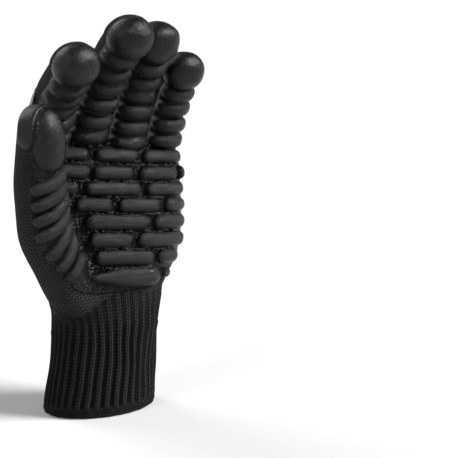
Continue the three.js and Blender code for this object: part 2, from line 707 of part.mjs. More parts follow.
// Strip: a smooth band facing the gap between thumb and index, from one round the crotch to the other.
const stripRay = ({ from, to }) => ({
  point: meet(from, to.clone().sub(from)),
  out: from.clone().sub(to).normalize(),
});
const alongDigit = (digit) => ({ at, angle }) => {
  const s = at * digit.length;
  const from = onDigit(digit, s, THREE.MathUtils.degToRad(angle), STRIP_RAY * THUMB_WIDTH);
  return stripRay({ to: digit.at(s).point, from });
};
const onIndex = STRIP_INDEX.map(alongDigit(fingers[0]));
const onThumb = STRIP_THUMB.map(alongDigit(thumb));
const onOuter = STRIP_OUTER.map(alongDigit(thumb));
const tipFrame = thumb.at(thumb.length - thumb.width(thumb.length));
const onTip = STRIP_TIP.map(({ turn, tilt }) => {
  const [round, back] = [turn, tilt].map(THREE.MathUtils.degToRad);
  const way = tipFrame.side.clone().multiplyScalar(Math.cos(round));
  way.addScaledVector(tipFrame.along, Math.sin(round)).multiplyScalar(Math.cos(back));
  way.addScaledVector(tipFrame.palm, -Math.sin(back));
  const from = tipFrame.point.clone().addScaledVector(way, STRIP_RAY * THUMB_WIDTH);
  return stripRay({ from, to: tipFrame.point });
});
const fanCentre = onIndex.at(-1).point.clone().lerp(onThumb[0].point, 0.5);
const fanStart = onIndex.at(-1).point.clone().sub(fanCentre).normalize();
const crotch = thumb.at(0).point.lerp(fingers[0].at(-FINGER_ROOT).point, 0.5);
const fanDown = crotch.sub(fanCentre).normalize();
const onCrotch = STRIP_FAN.map((share) => {
  const turn = Math.PI * share;
  const way = fanStart.clone().multiplyScalar(Math.cos(turn)).addScaledVector(fanDown, Math.sin(turn));
  return { point: meet(fanCentre, way), out: way.negate().normalize() };
});
const stripStations = [...onIndex, ...onCrotch, ...onThumb, ...onTip, ...onOuter];
const stripSolid = (grow) => {
  const rings = stripStations.map(({ point, out }, i) => {
    const before = stripStations[Math.max(i - 1, 0)].point;
    const after = stripStations[Math.min(i + 1, stripStations.length - 1)].point;
    const across = after.clone().sub(before).cross(out).normalize();
    const end = i === 0 || i === stripStations.length - 1;
    const half = (STRIP_WIDTH / 2) * (end ? STRIP_END : 1) + grow;
    return STRIP_SECTION.map(([a, b]) =>
      point.clone().addScaledVector(across, a * half).addScaledVector(out, b * (STRIP_HEIGHT + grow)),
    );
  });
  return loft(rings);
};
add("crotch_strip", stripSolid(0).subtract(skin(UNDER_FILM)), rubber);

fingers.forEach((digit, i) => {
  const strip = digitSolid(digit, FILM_TOP).intersect(
    sector(digit, FINGER_CUT - DIGIT_STEP, padStart(i) + RIB_WIDTH, [-GRIP_HALF_ANGLE, GRIP_HALF_ANGLE]),
  );
  const last = padStart(i) - PAD_CLEAR * RIB_WIDTH;
  const count = Math.round(last / RIB_PITCH) + 1;
  const ribs = Array.from({ length: count }, (_, k) => gripRib(digit, (last * k) / (count - 1)));
  const grip = wasm.Manifold.union([strip, ...ribs])
    .subtract(skin(UNDER_FILM))
    .subtract(tipEgg(digit, padSizes[i], GAP))
    .subtract(stripSolid(GAP))
    .intersect(beyond(digit, FINGER_CUT + GAP));
  add(digit.name + "_grip", grip, rubber);
});

// Palm film: the front of the palm inside its outline, and the thumb's palm side.
const layer = skin(FILM_TOP).subtract(skin(UNDER_FILM));
const palmPiece = prism(filmOutline.map(palmPoint), -2 * PALM_DEPTH, -FILM_EDGE * PALM_DEPTH);
const thumbFilmFrom = THUMB_FILM_FROM * THUMB_LENGTH;
const thumbPiece = sector(thumb, thumbFilmFrom, thumb.length + THUMB_WIDTH, THUMB_FILM_ANGLES);
const film = layer
  .intersect(palmPiece.subtract(wasm.Manifold.union(fingerPieces)).add(thumbPiece))
  .subtract(stripSolid(GAP));
add("palm_film", film, wet);

// Knuckle pad: a cushion on a thin flange, on the back over the middle to little knuckles.
const ovalPrism = (grow) => {
  const [x, z] = palmPoint(KNUCKLE_PAD_AT);
  const [a, b] = [KNUCKLE_PAD_WIDTH / 2 + grow, KNUCKLE_PAD_LENGTH / 2 + grow];
  const outline = Array.from({ length: OVAL_SIDES }, (_, k) => {
    const [across, up] = roundPoint((2 * Math.PI * k) / OVAL_SIDES, a, b, OVAL_SQUARE);
    return [x + across, z + up];
  });
  return prism(outline, 0, 2 * PALM_DEPTH);
};
const cushion = skin(GAP + KNUCKLE_PAD_HEIGHT).intersect(ovalPrism(0));
const flange = skin(FILM_TOP).intersect(ovalPrism(KNUCKLE_PAD_RIM));
add("knuckle_pad", cushion.add(flange).subtract(skin(UNDER_FILM)), rubber);

export default glove;
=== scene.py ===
"""The looks of an anti vibration glove: black stitch knit, a glossy rubber film and grained cushion ribs.

All shapes are worked out in millimetres from the part's own sizes and scaled to metres when a mesh is made.
"""

import math

import bpy
import numpy as np
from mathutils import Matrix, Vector
from mathutils.bvhtree import BVHTree


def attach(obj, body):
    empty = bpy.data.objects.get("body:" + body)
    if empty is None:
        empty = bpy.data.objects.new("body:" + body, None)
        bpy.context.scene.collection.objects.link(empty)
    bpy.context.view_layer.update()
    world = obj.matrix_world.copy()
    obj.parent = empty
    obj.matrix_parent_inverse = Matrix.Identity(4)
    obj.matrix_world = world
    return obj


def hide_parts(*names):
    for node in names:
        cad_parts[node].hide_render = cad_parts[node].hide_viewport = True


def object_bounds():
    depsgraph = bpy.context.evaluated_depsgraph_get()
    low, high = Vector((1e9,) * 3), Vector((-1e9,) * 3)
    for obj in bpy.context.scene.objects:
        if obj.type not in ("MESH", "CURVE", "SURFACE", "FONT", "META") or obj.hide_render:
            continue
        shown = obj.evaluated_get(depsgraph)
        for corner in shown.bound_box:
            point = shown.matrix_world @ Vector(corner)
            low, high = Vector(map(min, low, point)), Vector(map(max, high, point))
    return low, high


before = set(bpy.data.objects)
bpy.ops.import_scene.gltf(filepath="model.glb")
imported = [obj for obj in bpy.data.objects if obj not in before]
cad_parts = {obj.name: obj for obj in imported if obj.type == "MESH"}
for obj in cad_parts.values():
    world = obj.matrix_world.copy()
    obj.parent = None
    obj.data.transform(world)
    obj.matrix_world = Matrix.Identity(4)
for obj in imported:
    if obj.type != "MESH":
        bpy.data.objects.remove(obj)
cad_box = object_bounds()

MM = 0.001
BODY = "root"

# Sizes of the part, in millimetres
CUFF_LENGTH, CUFF_WIDTH, CUFF_DEPTH = 71.0, 69.0, 49.0
HEM_HEIGHT, HEM_WALL, HEM_BULGE = 7.0, 3.2, 0.7
CUFF_RIBS, CUFF_RIB_HEIGHT = 38, 1.3
KNIT_WALL = 2.4
PALM_LENGTH, PALM_WIDTH, PALM_DEPTH, KNUCKLE_DROP = 92.0, 100.0, 46.0, 7.0
FINGER_LENGTH, FINGER_WIDTH, FINGER_PITCH = 85.5, 23.2, 25.5
THUMB_LENGTH, THUMB_WIDTH, METACARPAL = 79.0, 27.6, 58.0
RIB_PITCH, RIB_WIDTH, THUMB_RIB_WIDTH, RIB_HEIGHT = 10.8, 8.6, 8.2, 4.9
PAD_HEIGHT, THUMB_PAD_LENGTH, THUMB_PAD_WIDTH = 3.4, 39.0, 22.6
STRIP_WIDTH, STRIP_HEIGHT = 10.5, 2.4
KNUCKLE_PAD_WIDTH, KNUCKLE_PAD_LENGTH, KNUCKLE_PAD_HEIGHT, KNUCKLE_PAD_RIM = 50.0, 31.0, 3.4, 2.4
FILM = 0.9


def table(columns, *rows):
    """Rows of values under named columns."""
    return [dict(zip(columns.split(), row)) for row in rows]


# Sections of the cuff and the palm, placed in cuff and palm lengths. Wide and deep are shares of the half
# width and half depth, side and front of the whole ones, and square is the section's own.
CUFF_ROWS = table(
    "at wide deep side front",
    (0.0, 1.0, 1.0, 0.0, 0.0),
    (0.25, 0.96, 0.985, 0.014, 0.03),
    (0.5, 0.928, 0.975, 0.029, 0.06),
    (0.76, 0.935, 0.965, 0.043, 0.08),
    (0.9, 0.985, 0.95, 0.048, 0.09),
    (1.0, 1.06, 0.94, 0.05, 0.09),
    (1.12, 1.17, 0.925, 0.058, 0.094),
)
PALM_ROWS = table(
    "at wide deep side front square",
    (0.0, 0.732, 1.0, 0.035, 0.096, 2.0),
    (0.12, 0.835, 0.97, 0.046, 0.1, 2.1),
    (0.3, 0.935, 0.91, 0.042, 0.115, 2.35),
    (0.5, 0.985, 0.83, 0.034, 0.115, 2.5),
    (0.72, 1.0, 0.72, 0.026, 0.11, 2.5),
    (0.9, 0.985, 0.61, 0.024, 0.115, 2.5),
    (1.0, 0.87, 0.34, 0.024, 0.125, 2.5),
)
KNUCKLE_PEAK = -0.3
RIB_FADE_END, RIB_FADE_OVER, RIB_FADE_EARLY = 1.1, 0.32, 0.2
CUFF_THUMB_ANGLE = math.radians(-150)

# Fingers: rise in palm lengths, reach in finger lengths, angles in degrees
FINGER_ROWS = table(
    "name column rise reach girth lean curl",
    ("index", -1.5, 1.022, 0.96, 1.0, -1.8, (31, 52, 61)),
    ("middle", -0.5, 1.1, 1.0, 1.0, 8.8, (27, 39, 67)),
    ("ring", 0.5, 1.016, 0.932, 0.96, 7.0, (17, 34, 48)),
    ("little", 1.5, 1.01, 0.68, 0.9, 6.0, (19, 31, 58)),
)
FINGER_ROOT, ROOT_CURL = 15.0, 3.0
PHALANGES = (0.455, 0.285, 0.26)
FINGER_SIDE, FINGER_FRONT = 0.023, 0.107
FINGER_TAPER, FINGER_FLAT = 0.9, 0.96
# Each bone of the thumb: its length, its curl and its lean in degrees
THUMB_BONES = [(METACARPAL, 22, -35), (0.43 * THUMB_LENGTH, 14, -11), (0.57 * THUMB_LENGTH, 15, -2)]
THUMB_TURN = math.radians(22)
THUMB_ROOT = (-0.205 * PALM_WIDTH, -0.24 * PALM_DEPTH, CUFF_LENGTH + 0.02 * PALM_LENGTH)
THUMB_TAPER, THUMB_FLAT, THUMB_SWELL = 0.88, 0.95, 1.5
# How far each bend reaches to both sides of its joint
BEND = 9.0
# How far below its first bone the thumb starts inside the cuff, and its share of the full width there. It is
# full as far above that bone's start, and ROOT_PAST more.
THUMB_START, ROOT_THIN, ROOT_PAST = 24.0, 0.6, 6

# The web between thumb and palm, level by level
WEB_ROWS = table(
    "at thumb palm reach thick inner",
    (0.0, -0.85, -0.16, 1.0, 1.1, 0.7),
    (1.0, -0.35, -0.24, 1.0, 0.93, 0.66),
    (2.0, 0.0, -0.32, 0.95, 0.74, 0.54),
    (3.0, 0.13, -0.37, 0.72, 0.52, 0.44),
    (4.0, 0.22, -0.4, 0.3, 0.25, 0.25),
)
WEB_FRONT = -0.13

# Palm ribs: rise in palm lengths, spans in palm widths, tall in rib widths
PALM_RIBS = table(
    "rise spans tall",
    (0.92, [(-0.38, -0.135), (-0.095, 0.176), (0.211, 0.485)], 1.0),
    (0.82, [(-0.37, -0.148), (-0.127, 0.133), (0.174, 0.446), (0.462, 0.495)], 1.0),
    (0.718, [(-0.34, -0.22), (-0.182, 0.178), (0.214, 0.49)], 1.0),
    (0.614, [(-0.25, -0.017), (0.02, 0.297), (0.338, 0.49)], 1.05),
    (0.507, [(-0.197, 0.216), (0.252, 0.485)], 1.1),
    (0.392, [(-0.178, 0.095), (0.133, 0.475)], 1.12),
    (0.282, [(-0.148, 0.238), (0.268, 0.425)], 1.08),
    (0.153, [(-0.19, 0.285)], 1.4),
    (0.165, [(0.325, 0.38)], 0.7),
)
RIB_SLOPE, RIB_LEVEL = 0.12, 0.05
# Thumb ribs: place along in thumb lengths, angles in degrees, climb in rib pitches
THUMB_RIBS = table(
    "s from to climb",
    (0.5, -62, 60, 0.7),
    (0.38, -62, 60, 0.7),
    (0.26, -62, 60, 0.7),
    (0.14, -60, 60, 0.75),
    (0.01, -48, 56, 0.9),
    (-0.145, -42, 50, 0.6),
    (-0.3, -34, 34, 0.3),
)
# A rib that is taller than this many rib widths is pointed: its share of the width at its thumb end
POINTED_FROM, POINTED_END = 1.3, 0.4
# How much wider a moulded rib is than its plain solid
RIB_PUFF = 0.1

# The film's outline on the palm, in palm widths and palm lengths
FILM_OUTLINE = [
    (-0.42, 0.55), (-0.44, 1.3), (0.7, 1.3), (0.7, 0.45), (0.5, 0.26), (0.4, 0.14),
    (0.31, 0.09), (0.13, 0.065), (-0.03, 0.06), (-0.18, 0.075), (-0.28, 0.12), (-0.34, 0.2),
]
# How far in front of the middle its sides end, in palm depths
FILM_EDGE = 0.14
# On the thumb: where it starts, in thumb lengths, its two edges, and how much it narrows to there, in degrees
THUMB_FILM_FROM, THUMB_FILM_ANGLES, THUMB_FILM_NARROWS = -0.4, (-66, 84), 42
# How near the skin lies to the tubes of the digits that carry it, how far up the fingers it goes, and how far
# inside the grip's edge it stays, in degrees
NEAR_FINGER, NEAR_THUMB, FILM_UP_FINGER, FILM_IN_GRIP = 2.5, 4, 3, 8
# How far out of the film's edge its sheet goes on, sunk into the knit by FILM_SINK; the edge is a rolled bead
FILM_BEYOND, FILM_SINK, FILM_RAISE = 2.5, 0.9, 0.7
FILM_SLOPE = (-1.6, 0.7)
BEAD_HEIGHT, BEAD_AT, BEAD_WIDTH = 0.4, 0.9, 0.55
FILM_THICK = 0.5

GRIP_HALF_ANGLE, GRIP_RIB_ANGLE, GRIP_RIB_WIDTH, GRIP_RIB_HEIGHT = 74, 66, 9.6, 5.3
# The grip's film: where it starts, how far it lies over and under the skin, and how wide its edge slopes
GRIP_START, GRIP_OVER, GRIP_UNDER, GRIP_EDGE = -5, 0.35, 1.4, 0.25
# By what share a grip's rib loses height at its ends
GRIP_RIB_DROOP = 0.45

# The strip from the index round the crotch to the thumb: places in digit lengths and angles in degrees
STRIP_INDEX = [(0.44, -120), (0.32, -116), (0.14, -108), (-0.04, -102)]
STRIP_FAN = (0.2, 0.5, 0.8)
STRIP_THUMB = [(0.3, 112), (0.48, 112), (0.68, 114)]
STRIP_TIP = [(5, 22), (45, 20), (90, 17), (135, 8), (175, -4)]
STRIP_OUTER = [(0.84, -85), (0.74, -87)]
STRIP_RAY = 0.72
# The strip's height along it, as shares: it starts flush on the index and lies low over the thumb's tip
STRIP_SHARES = (0.1, 0.55, 1.0, 1.0, 0.95, 0.85, 0.65, 0.6, 0.6)
KNUCKLE_PAD_AT = (0.17, 0.77)

# Beads of film between the palm ribs: their pitch, their size, where the top row lies and how early rows end
DOT_PITCH, DOT_SIZE, DOT_ROW_ABOVE, DOT_ROW_SHORT = 1.85, 0.6, 0.985, 6.0
# How far they are scattered, the range of their sizes, the share left out, their half sizes and their lift
DOT_SCATTER, DOT_SIZES, DOT_GAPS, DOT_HALVES, DOT_LIFT = (0.25, 0.35), (0.65, 1.1), 0.2, (1.2, 0.8, 3.2), 0.5

# Tips: how far a pad leans over the end, in degrees, and how far it reaches to the nail's side, in radii
PAD_TILT, PAD_BACK, PAD_SQUARE = 24, 0.8, 2.15
THUMB_PAD_TILT, THUMB_PAD_BACK, THUMB_PAD_SQUARE = 7, 0.62, 2.25
# A finger pad's length in finger widths, its rise past the tip in pad heights and what it puffs out sideways
PAD_LONG, PAD_RISE, PAD_PUFF = 1.275, 0.7, 0.6
THUMB_PAD_RISE, THUMB_PAD_HEIGHT = 0.8, PAD_HEIGHT + 0.4
# The knit round the back of each pad: its half sizes across, deep and along, and how far back its middle lies
HOOD_HALVES, HOOD_BACK, HOOD_BEFORE_END, HOOD_TILT = (12.5, 9.6, 15.2), 1.0, 14.8, 8

# Where the knit shell starts inside the cuff, and how far inside the cuff's outside it lies
SHELL_FOOT, SHELL_INSET = 60.0, -0.9
# The palm's rounded top, as shares of its last section and how far they are lifted
PALM_CROWN = ((0.85, 0.8), (0.5, 1.4), (0.1, 1.5))
# Rounds of smoothing all over and at the wrist, and where along the hand the second one fades in and out
SHELL_ROUNDS, WRIST_ROUNDS = 9, 90
WRIST_IN, WRIST_OUT = (SHELL_FOOT, SHELL_FOOT + 5), (102, 84)
# From where the cuff widens with the shell under it, and how softly
FLARE_FROM, FLARE_BLEND = 46.0, 0.7
# The cuff's steps round each rib and up, how far it goes on over the palm and under the hem, how far its top
# dips, and how much it stands out all over
RIB_STEPS, CUFF_STEPS, CUFF_OVER, CUFF_UNDER, CUFF_DIP, CUFF_PUFF = 12, 60, 6, 1.5, 1.7, 0.4
# Waves of the ribs' places, in ribs, and of the cuff's skin: height, how many go round, and length up
RIB_WAVER = ((0.1, 2, 14), (0.04, 5, 5.1))
CUFF_SWELLS = ((0.35, 3, 13), (0.25, 5, -8))
# The hem's threads, the steps round each and the points of its section
HEM_THREADS, THREAD_STEPS, HEM_SECTION = 84, 8, 28

# How finely the surfaces are cut, in millimetres, and the knit's gauge
SHELL_VOXEL = 1.45
GRIP_VOXEL = 0.62
PALM_WALES, FINGER_WALES, THUMB_WALES = 92, 27, 33
COURSE = 2.1
# Where along a digit its own wales start, and how far from its plain tube the skin that carries them may lie:
# at the root, and from HOOD_FROM on up to the hooded end
FINGER_WALES_FROM, THUMB_WALES_FROM = -3.0, -30.0
ROOT_GAP, HOOD_GAP, HOOD_FROM = 1.6, 6.0, 15

# Paths on the skin: their points, and the rounds that even out their places and their ways out
PATH_POINTS, PATH_ROUNDS, OUT_ROUNDS = 40, 4, 14


def unit(v):
    return v / np.maximum(np.linalg.norm(v, axis=-1, keepdims=True), 1e-9)


def smoothstep(lo, hi, x):
    t = np.clip((x - lo) / (hi - lo), 0, 1)
    return t * t * (3 - 2 * t)


def round_angles(count):
    """Even angles once round, in radians."""
    return np.linspace(0, 2 * np.pi, count, endpoint=False)


def smooth_row(rows, at):
    """Each column of a table at the places `at`, on a smooth curve through its rows."""
    x = np.array([row["at"] for row in rows])
    at = np.asarray(at, float)
    i = np.clip(np.searchsorted(x, at) - 1, 0, len(x) - 2)
    h = x[i + 1] - x[i]
    t = (at - x[i]) / h
    out = {}
    for key in rows[0]:
        y = np.array([row[key] for row in rows], float)
        m = np.gradient(y, x)
        out[key] = (
            (2 * t**3 - 3 * t**2 + 1) * y[i]
            + (t**3 - 2 * t**2 + t) * h * m[i]
            + (3 * t**2 - 2 * t**3) * y[i + 1]
            + (t**3 - t**2) * h * m[i + 1]
        )
    return out


def oval(turn, wide, deep, square=2.0):
    """A rounded section at an angle round it: square 2 is an ellipse, more is boxier."""
    c, s = np.cos(turn), np.sin(turn)
    power = 2 / square
    return wide * np.sign(c) * np.abs(c) ** power, deep * np.sign(s) * np.abs(s) ** power


def curve_through(points, count, closed=False):
    """`count` points on a Catmull-Rom curve through the given ones."""
    p = np.asarray(points, float)
    if closed:
        p = np.vstack([p[-1:], p, p[:2]])
    else:
        p = np.vstack([2 * p[:1] - p[1:2], p, 2 * p[-1:] - p[-2:-1]])
    spans = len(p) - 3
    at = np.linspace(0, spans, count, endpoint=not closed)
    i = np.minimum(at.astype(int), spans - 1)
    t = (at - i)[:, None]
    a, b, c, d = p[i], p[i + 1], p[i + 2], p[i + 3]
    return 0.5 * (2 * b + (c - a) * t + (2 * a - 5 * b + 4 * c - d) * t**2 + (3 * b - a - 3 * c + d) * t**3)


def lofted(rings, loop=False):
    """Points and faces of a loft through rings of equal count: a loop, or closed by a face at each end."""
    rings = np.asarray(rings, float)
    n, k = rings.shape[:2]
    i, j = np.meshgrid(np.arange(n if loop else n - 1), np.arange(k), indexing="ij")
    here, after, beside = i * k, (i + 1) % n * k, (j + 1) % k
    faces = np.stack([here + j, here + beside, after + beside, after + j], -1).reshape(-1, 4).tolist()
    if not loop:
        faces += [list(range(k))[::-1], list(range((n - 1) * k, n * k))]
    return rings.reshape(-1, 3), faces


def joined(parts):
    points, faces, start = [], [], 0
    for verts, polygons in parts:
        points.append(verts)
        faces += [[v + start for v in face] for face in polygons]
        start += len(verts)
    return np.vstack(points), faces


class Digit:
    """A run of straight bones with smooth bends: its frame has a point, along, palm and side."""

    STEPS, SIDES, RINGS, TIP_RINGS = 200, 36, 70, 10
    POINTS_AT_ONCE = 4000

    def __init__(self, name, root, bones, palmward, radius, taper, flat, swell=1.0):
        self.name, self.radius, self.taper, self.flat, self.swell = name, radius, taper, flat, swell
        self.before = bones[0][0]
        total = sum(bone[0] for bone in bones)
        self.length = total - self.before
        self.s = np.linspace(-self.before, self.length, self.STEPS + 1)
        self.along = self.heading(self.s + self.before, bones)
        middle = self.heading((self.s[1:] + self.s[:-1]) / 2 + self.before, bones)
        step = total / self.STEPS
        self.point = np.vstack([root, root + np.cumsum(middle * step, axis=0)])
        palm = np.asarray(palmward, float)
        self.palm = unit(palm - self.along * (self.along @ palm)[:, None])
        self.side = np.cross(self.along, self.palm)

    @staticmethod
    def heading(reached, bones):
        curl, lean = (np.full(reached.shape, float(angle)) for angle in bones[0][1:])
        joint = 0.0
        for (length, c0, l0), (_, c1, l1) in zip(bones[:-1], bones[1:]):
            joint += length
            share = smoothstep(joint - BEND, joint + BEND, reached)
            curl += share * (c1 - c0)
            lean += share * (l1 - l0)
        curl, lean = np.radians(curl), np.radians(lean)
        return np.stack([np.sin(lean) * np.cos(curl), -np.sin(curl), np.cos(lean) * np.cos(curl)], -1)

    def at(self, s):
        s = np.asarray(s, float)
        take = lambda values: np.stack([np.interp(s, self.s, values[:, k]) for k in range(3)], -1)
        past = s - np.clip(s, self.s[0], self.s[-1])
        along = take(self.along)
        return take(self.point) + along * past[..., None], along, take(self.palm), take(self.side)

    def width(self, s):
        s = np.asarray(s, float)
        grown = 1 + (self.swell - 1) * (np.minimum(s, 0) / self.before) ** 2
        return self.radius * np.where(s > 0, 1 + (self.taper - 1) * s / self.length, grown)

    def on(self, s, angle, distance):
        """The point at an angle from the palm side, in radians towards the side vector."""
        s, angle, distance = np.broadcast_arrays(s, angle, distance)
        point, _, palm, side = self.at(s)
        angle, distance = angle[..., None], distance[..., None]
        return point + palm * distance * np.cos(angle) * self.flat + side * distance * np.sin(angle)

    def solid(self, root=0.0):
        """The digit's tube with a round tip; with a root it swells slowly out of what it grows from."""
        end = float(self.width(self.length))
        straight = self.length - end
        s = np.linspace(-self.before - root, straight, self.RINGS)
        r = self.width(np.maximum(s, -self.before))
        if root:
            r = r * (ROOT_THIN + (1 - ROOT_THIN) * smoothstep(s[0], root - self.before + ROOT_PAST, s))
        tip = np.radians(np.linspace(8, 86, self.TIP_RINGS))
        s = np.append(s, straight + end * np.sin(tip))[:, None]
        r = np.append(r, end * np.cos(tip))[:, None]
        return lofted(self.on(s, round_angles(self.SIDES), r))

    def near(self, p):
        """For points: s along the digit, the angle round it and the distance from its skin."""
        s = np.empty(len(p))
        for k in range(0, len(p), self.POINTS_AT_ONCE):
            some = slice(k, k + self.POINTS_AT_ONCE)
            gap = ((p[some, None] - self.point[None]) ** 2).sum(-1)
            s[some] = self.s[gap.argmin(1)]
        point, along, palm, side = self.at(s)
        off = p - point
        forward = (off * along).sum(-1)
        s = s + forward
        off = off - along * forward[:, None]
        a, b = (off * palm).sum(-1) / self.flat, (off * side).sum(-1)
        end = np.maximum(s - (self.length - self.width(self.length)), 0)
        distance = np.sqrt(a**2 + b**2 + end**2) - self.width(np.minimum(s, self.length))
        return s, np.arctan2(b, a), distance


def finger(row):
    base = np.array([
        FINGER_SIDE * PALM_WIDTH + row["column"] * FINGER_PITCH,
        -FINGER_FRONT * PALM_DEPTH,
        CUFF_LENGTH + row["rise"] * PALM_LENGTH,
    ])
    bones = [(FINGER_ROOT, ROOT_CURL, row["lean"] / 2)]
    for share, curl in zip(PHALANGES, row["curl"]):
        bones.append((share * row["reach"] * FINGER_LENGTH, curl, row["lean"]))
    curl, lean = math.radians(ROOT_CURL), math.radians(row["lean"] / 2)
    back = np.array([math.sin(lean) * math.cos(curl), -math.sin(curl), math.cos(curl)])
    radius = row["girth"] * FINGER_WIDTH / 2
    return Digit(row["name"], base - back * FINGER_ROOT, bones, (0, -1, 0), radius, FINGER_TAPER, FINGER_FLAT)


fingers = [finger(row) for row in FINGER_ROWS]
thumb = Digit(
    "thumb", np.array(THUMB_ROOT), THUMB_BONES, (math.sin(THUMB_TURN), -math.cos(THUMB_TURN), 0),
    THUMB_WIDTH / 2, THUMB_TAPER, THUMB_FLAT, THUMB_SWELL,
)
digits = fingers + [thumb]


def cuff_point(turn, z, out=0.0):
    turn, z = np.broadcast_arrays(turn, z)
    row = smooth_row(CUFF_ROWS, z / CUFF_LENGTH)
    x, y = oval(turn, row["wide"] * CUFF_WIDTH / 2 + out, row["deep"] * CUFF_DEPTH / 2 + out)
    return np.stack([x + row["side"] * CUFF_WIDTH, y - row["front"] * CUFF_DEPTH, z], -1)


def palm_point(turn, at, shrink=1.0, lift=0.0):
    turn, at = np.broadcast_arrays(turn, at)
    row = smooth_row(PALM_ROWS, at)
    wide, deep = row["wide"] * PALM_WIDTH / 2 * shrink, row["deep"] * PALM_DEPTH / 2 * shrink
    x, y = oval(turn, wide, deep, row["square"])
    x = x + row["side"] * PALM_WIDTH
    peak = FINGER_SIDE * PALM_WIDTH + KNUCKLE_PEAK * FINGER_PITCH
    drop = KNUCKLE_DROP * at**3 * ((x - peak) / (PALM_WIDTH / 2)) ** 2
    return np.stack([x, y - row["front"] * PALM_DEPTH, CUFF_LENGTH + at * PALM_LENGTH - drop + lift], -1)


def palm_solid():
    """The palm from inside the cuff up to the knuckles, with a rounded top."""
    turn = round_angles(72)
    rings = [cuff_point(turn, z, SHELL_INSET) for z in np.linspace(SHELL_FOOT, CUFF_LENGTH - 3, 4)]
    rings += [palm_point(turn, at) for at in np.linspace(0.01, 1.0, 40)]
    rings += [palm_point(turn, 1.0, shrink, lift) for shrink, lift in PALM_CROWN]
    return lofted(rings)


def web_solid():
    """The web between thumb and palm: each level is a band round a disc in the palm and one in the thumb."""
    rings = []
    turn = round_angles(48) + 0.01
    for at in np.linspace(0, 4, 24):
        row = smooth_row(WEB_ROWS, at)
        far = thumb.at(row["thumb"] * METACARPAL)[0]
        near = np.array([row["palm"] * PALM_WIDTH, WEB_FRONT * PALM_DEPTH, far[2]])
        tip = near + (far - near) * row["reach"]
        bearing = math.atan2(tip[1] - near[1], tip[0] - near[0])
        outer = (np.cos(turn) > 0)[:, None]
        r = np.where(outer, row["thick"] * THUMB_WIDTH / 2, row["inner"] * PALM_DEPTH / 2)
        way = np.stack([np.cos(turn + bearing), np.sin(turn + bearing), 0 * turn], -1)
        rings.append(way * r + np.where(outer, tip, near))
    return lofted(rings)


def egg(centre, axes, halves, square=PAD_SQUARE, rings=36, around=44):
    """A full rounded blob with half sizes along three axes."""
    level = np.linspace(0.02, math.pi - 0.02, rings)[:, None]
    turn = round_angles(around)[None]
    power = 2 / square
    shaped = lambda v: np.sign(v) * np.abs(v) ** power
    flat = shaped(np.sin(level))
    local = [flat * shaped(np.cos(turn)), flat * shaped(np.sin(turn)), shaped(np.cos(level))]
    return lofted(centre + (np.stack(np.broadcast_arrays(*local), -1) * halves) @ np.array(axes))


def tilted(side, palm, along, degrees):
    """A digit's axes, turned about its side so that its end leans back."""
    c, s = math.cos(math.radians(degrees)), math.sin(math.radians(degrees))
    return side, palm * c + along * s, along * c - palm * s


def tip_hood(digit):
    """The rounded knit end of a finger, as wide as the pad that it holds."""
    point, along, palm, side = digit.at(digit.length - HOOD_BEFORE_END)
    share = float(digit.radius) / (FINGER_WIDTH / 2)
    axes = tilted(side, palm, along, HOOD_TILT)
    return egg(point - palm * HOOD_BACK * share, axes, np.array(HOOD_HALVES) * share)


def linked(name, data):
    """A new object in the scene."""
    obj = bpy.data.objects.new(name, data)
    bpy.context.scene.collection.objects.link(obj)
    return obj


def new_mesh(name, points, faces, uv=None):
    """A mesh from points in millimetres, with wale and course numbers at the corners of its faces."""
    mesh = bpy.data.meshes.new(name)
    mesh.from_pydata((np.asarray(points) * MM).tolist(), [], faces)
    mesh.validate()
    if uv is not None:
        layer = mesh.uv_layers.new(name="knit")
        layer.data.foreach_set("uv", np.asarray(uv, float).reshape(-1))
    return mesh


def evaluated(obj):
    """An object's mesh under its modifiers, with its points in millimetres and its quads."""
    mesh = bpy.data.meshes.new_from_object(obj.evaluated_get(bpy.context.evaluated_depsgraph_get()))
    points = np.empty(len(mesh.vertices) * 3)
    mesh.vertices.foreach_get("co", points)
    quads = np.empty(len(mesh.loops), int)
    mesh.loops.foreach_get("vertex_index", quads)
    return mesh, points.reshape(-1, 3) / MM, quads.reshape(-1, 4)


def remeshed(points, faces, voxel):
    """The outer skin of overlapping closed shapes as even quads, in millimetres."""
    rough = linked("rough", new_mesh("rough", points, faces))
    modifier = rough.modifiers.new("skin", "REMESH")
    modifier.mode = "VOXEL"
    modifier.voxel_size = voxel * MM
    mesh, points, quads = evaluated(rough)
    bpy.data.meshes.remove(mesh)
    bpy.data.meshes.remove(rough.data)
    return points, quads


def smoothed(points, quads, rounds, grow=-0.52, share=1.0):
    """Points moved towards their neighbours and back, by a share of it: creases melt and sizes stay."""
    edges = np.vstack([quads[:, [0, 1]], quads[:, [1, 2]], quads[:, [2, 3]], quads[:, [3, 0]]])
    edges = np.unique(np.sort(edges, axis=1), axis=0)
    a, b = np.concatenate([edges[:, 0], edges[:, 1]]), np.concatenate([edges[:, 1], edges[:, 0]])
    count = np.bincount(a, minlength=len(points))[:, None]
    for _ in range(rounds):
        for factor in filter(None, (0.5, grow)):
            total = np.stack([np.bincount(a, points[b, k], len(points)) for k in range(3)], -1)
            points = points + share * factor * (total / count - points)
    return points


def normals_of(points, quads):
    """Unit normals of the points, from their faces."""
    across = np.cross(points[quads[:, 2]] - points[quads[:, 0]], points[quads[:, 3]] - points[quads[:, 1]])
    total = np.zeros_like(points)
    for k in range(4):
        for axis in range(3):
            total[:, axis] += np.bincount(quads[:, k], across[:, axis], len(points))
    return unit(total)


def kept_faces(points, quads, keep):
    """Only the faces that are kept, with the points they use."""
    quads = quads[keep]
    used, inverse = np.unique(quads, return_inverse=True)
    return points[used], inverse.reshape(quads.shape)


# Materials


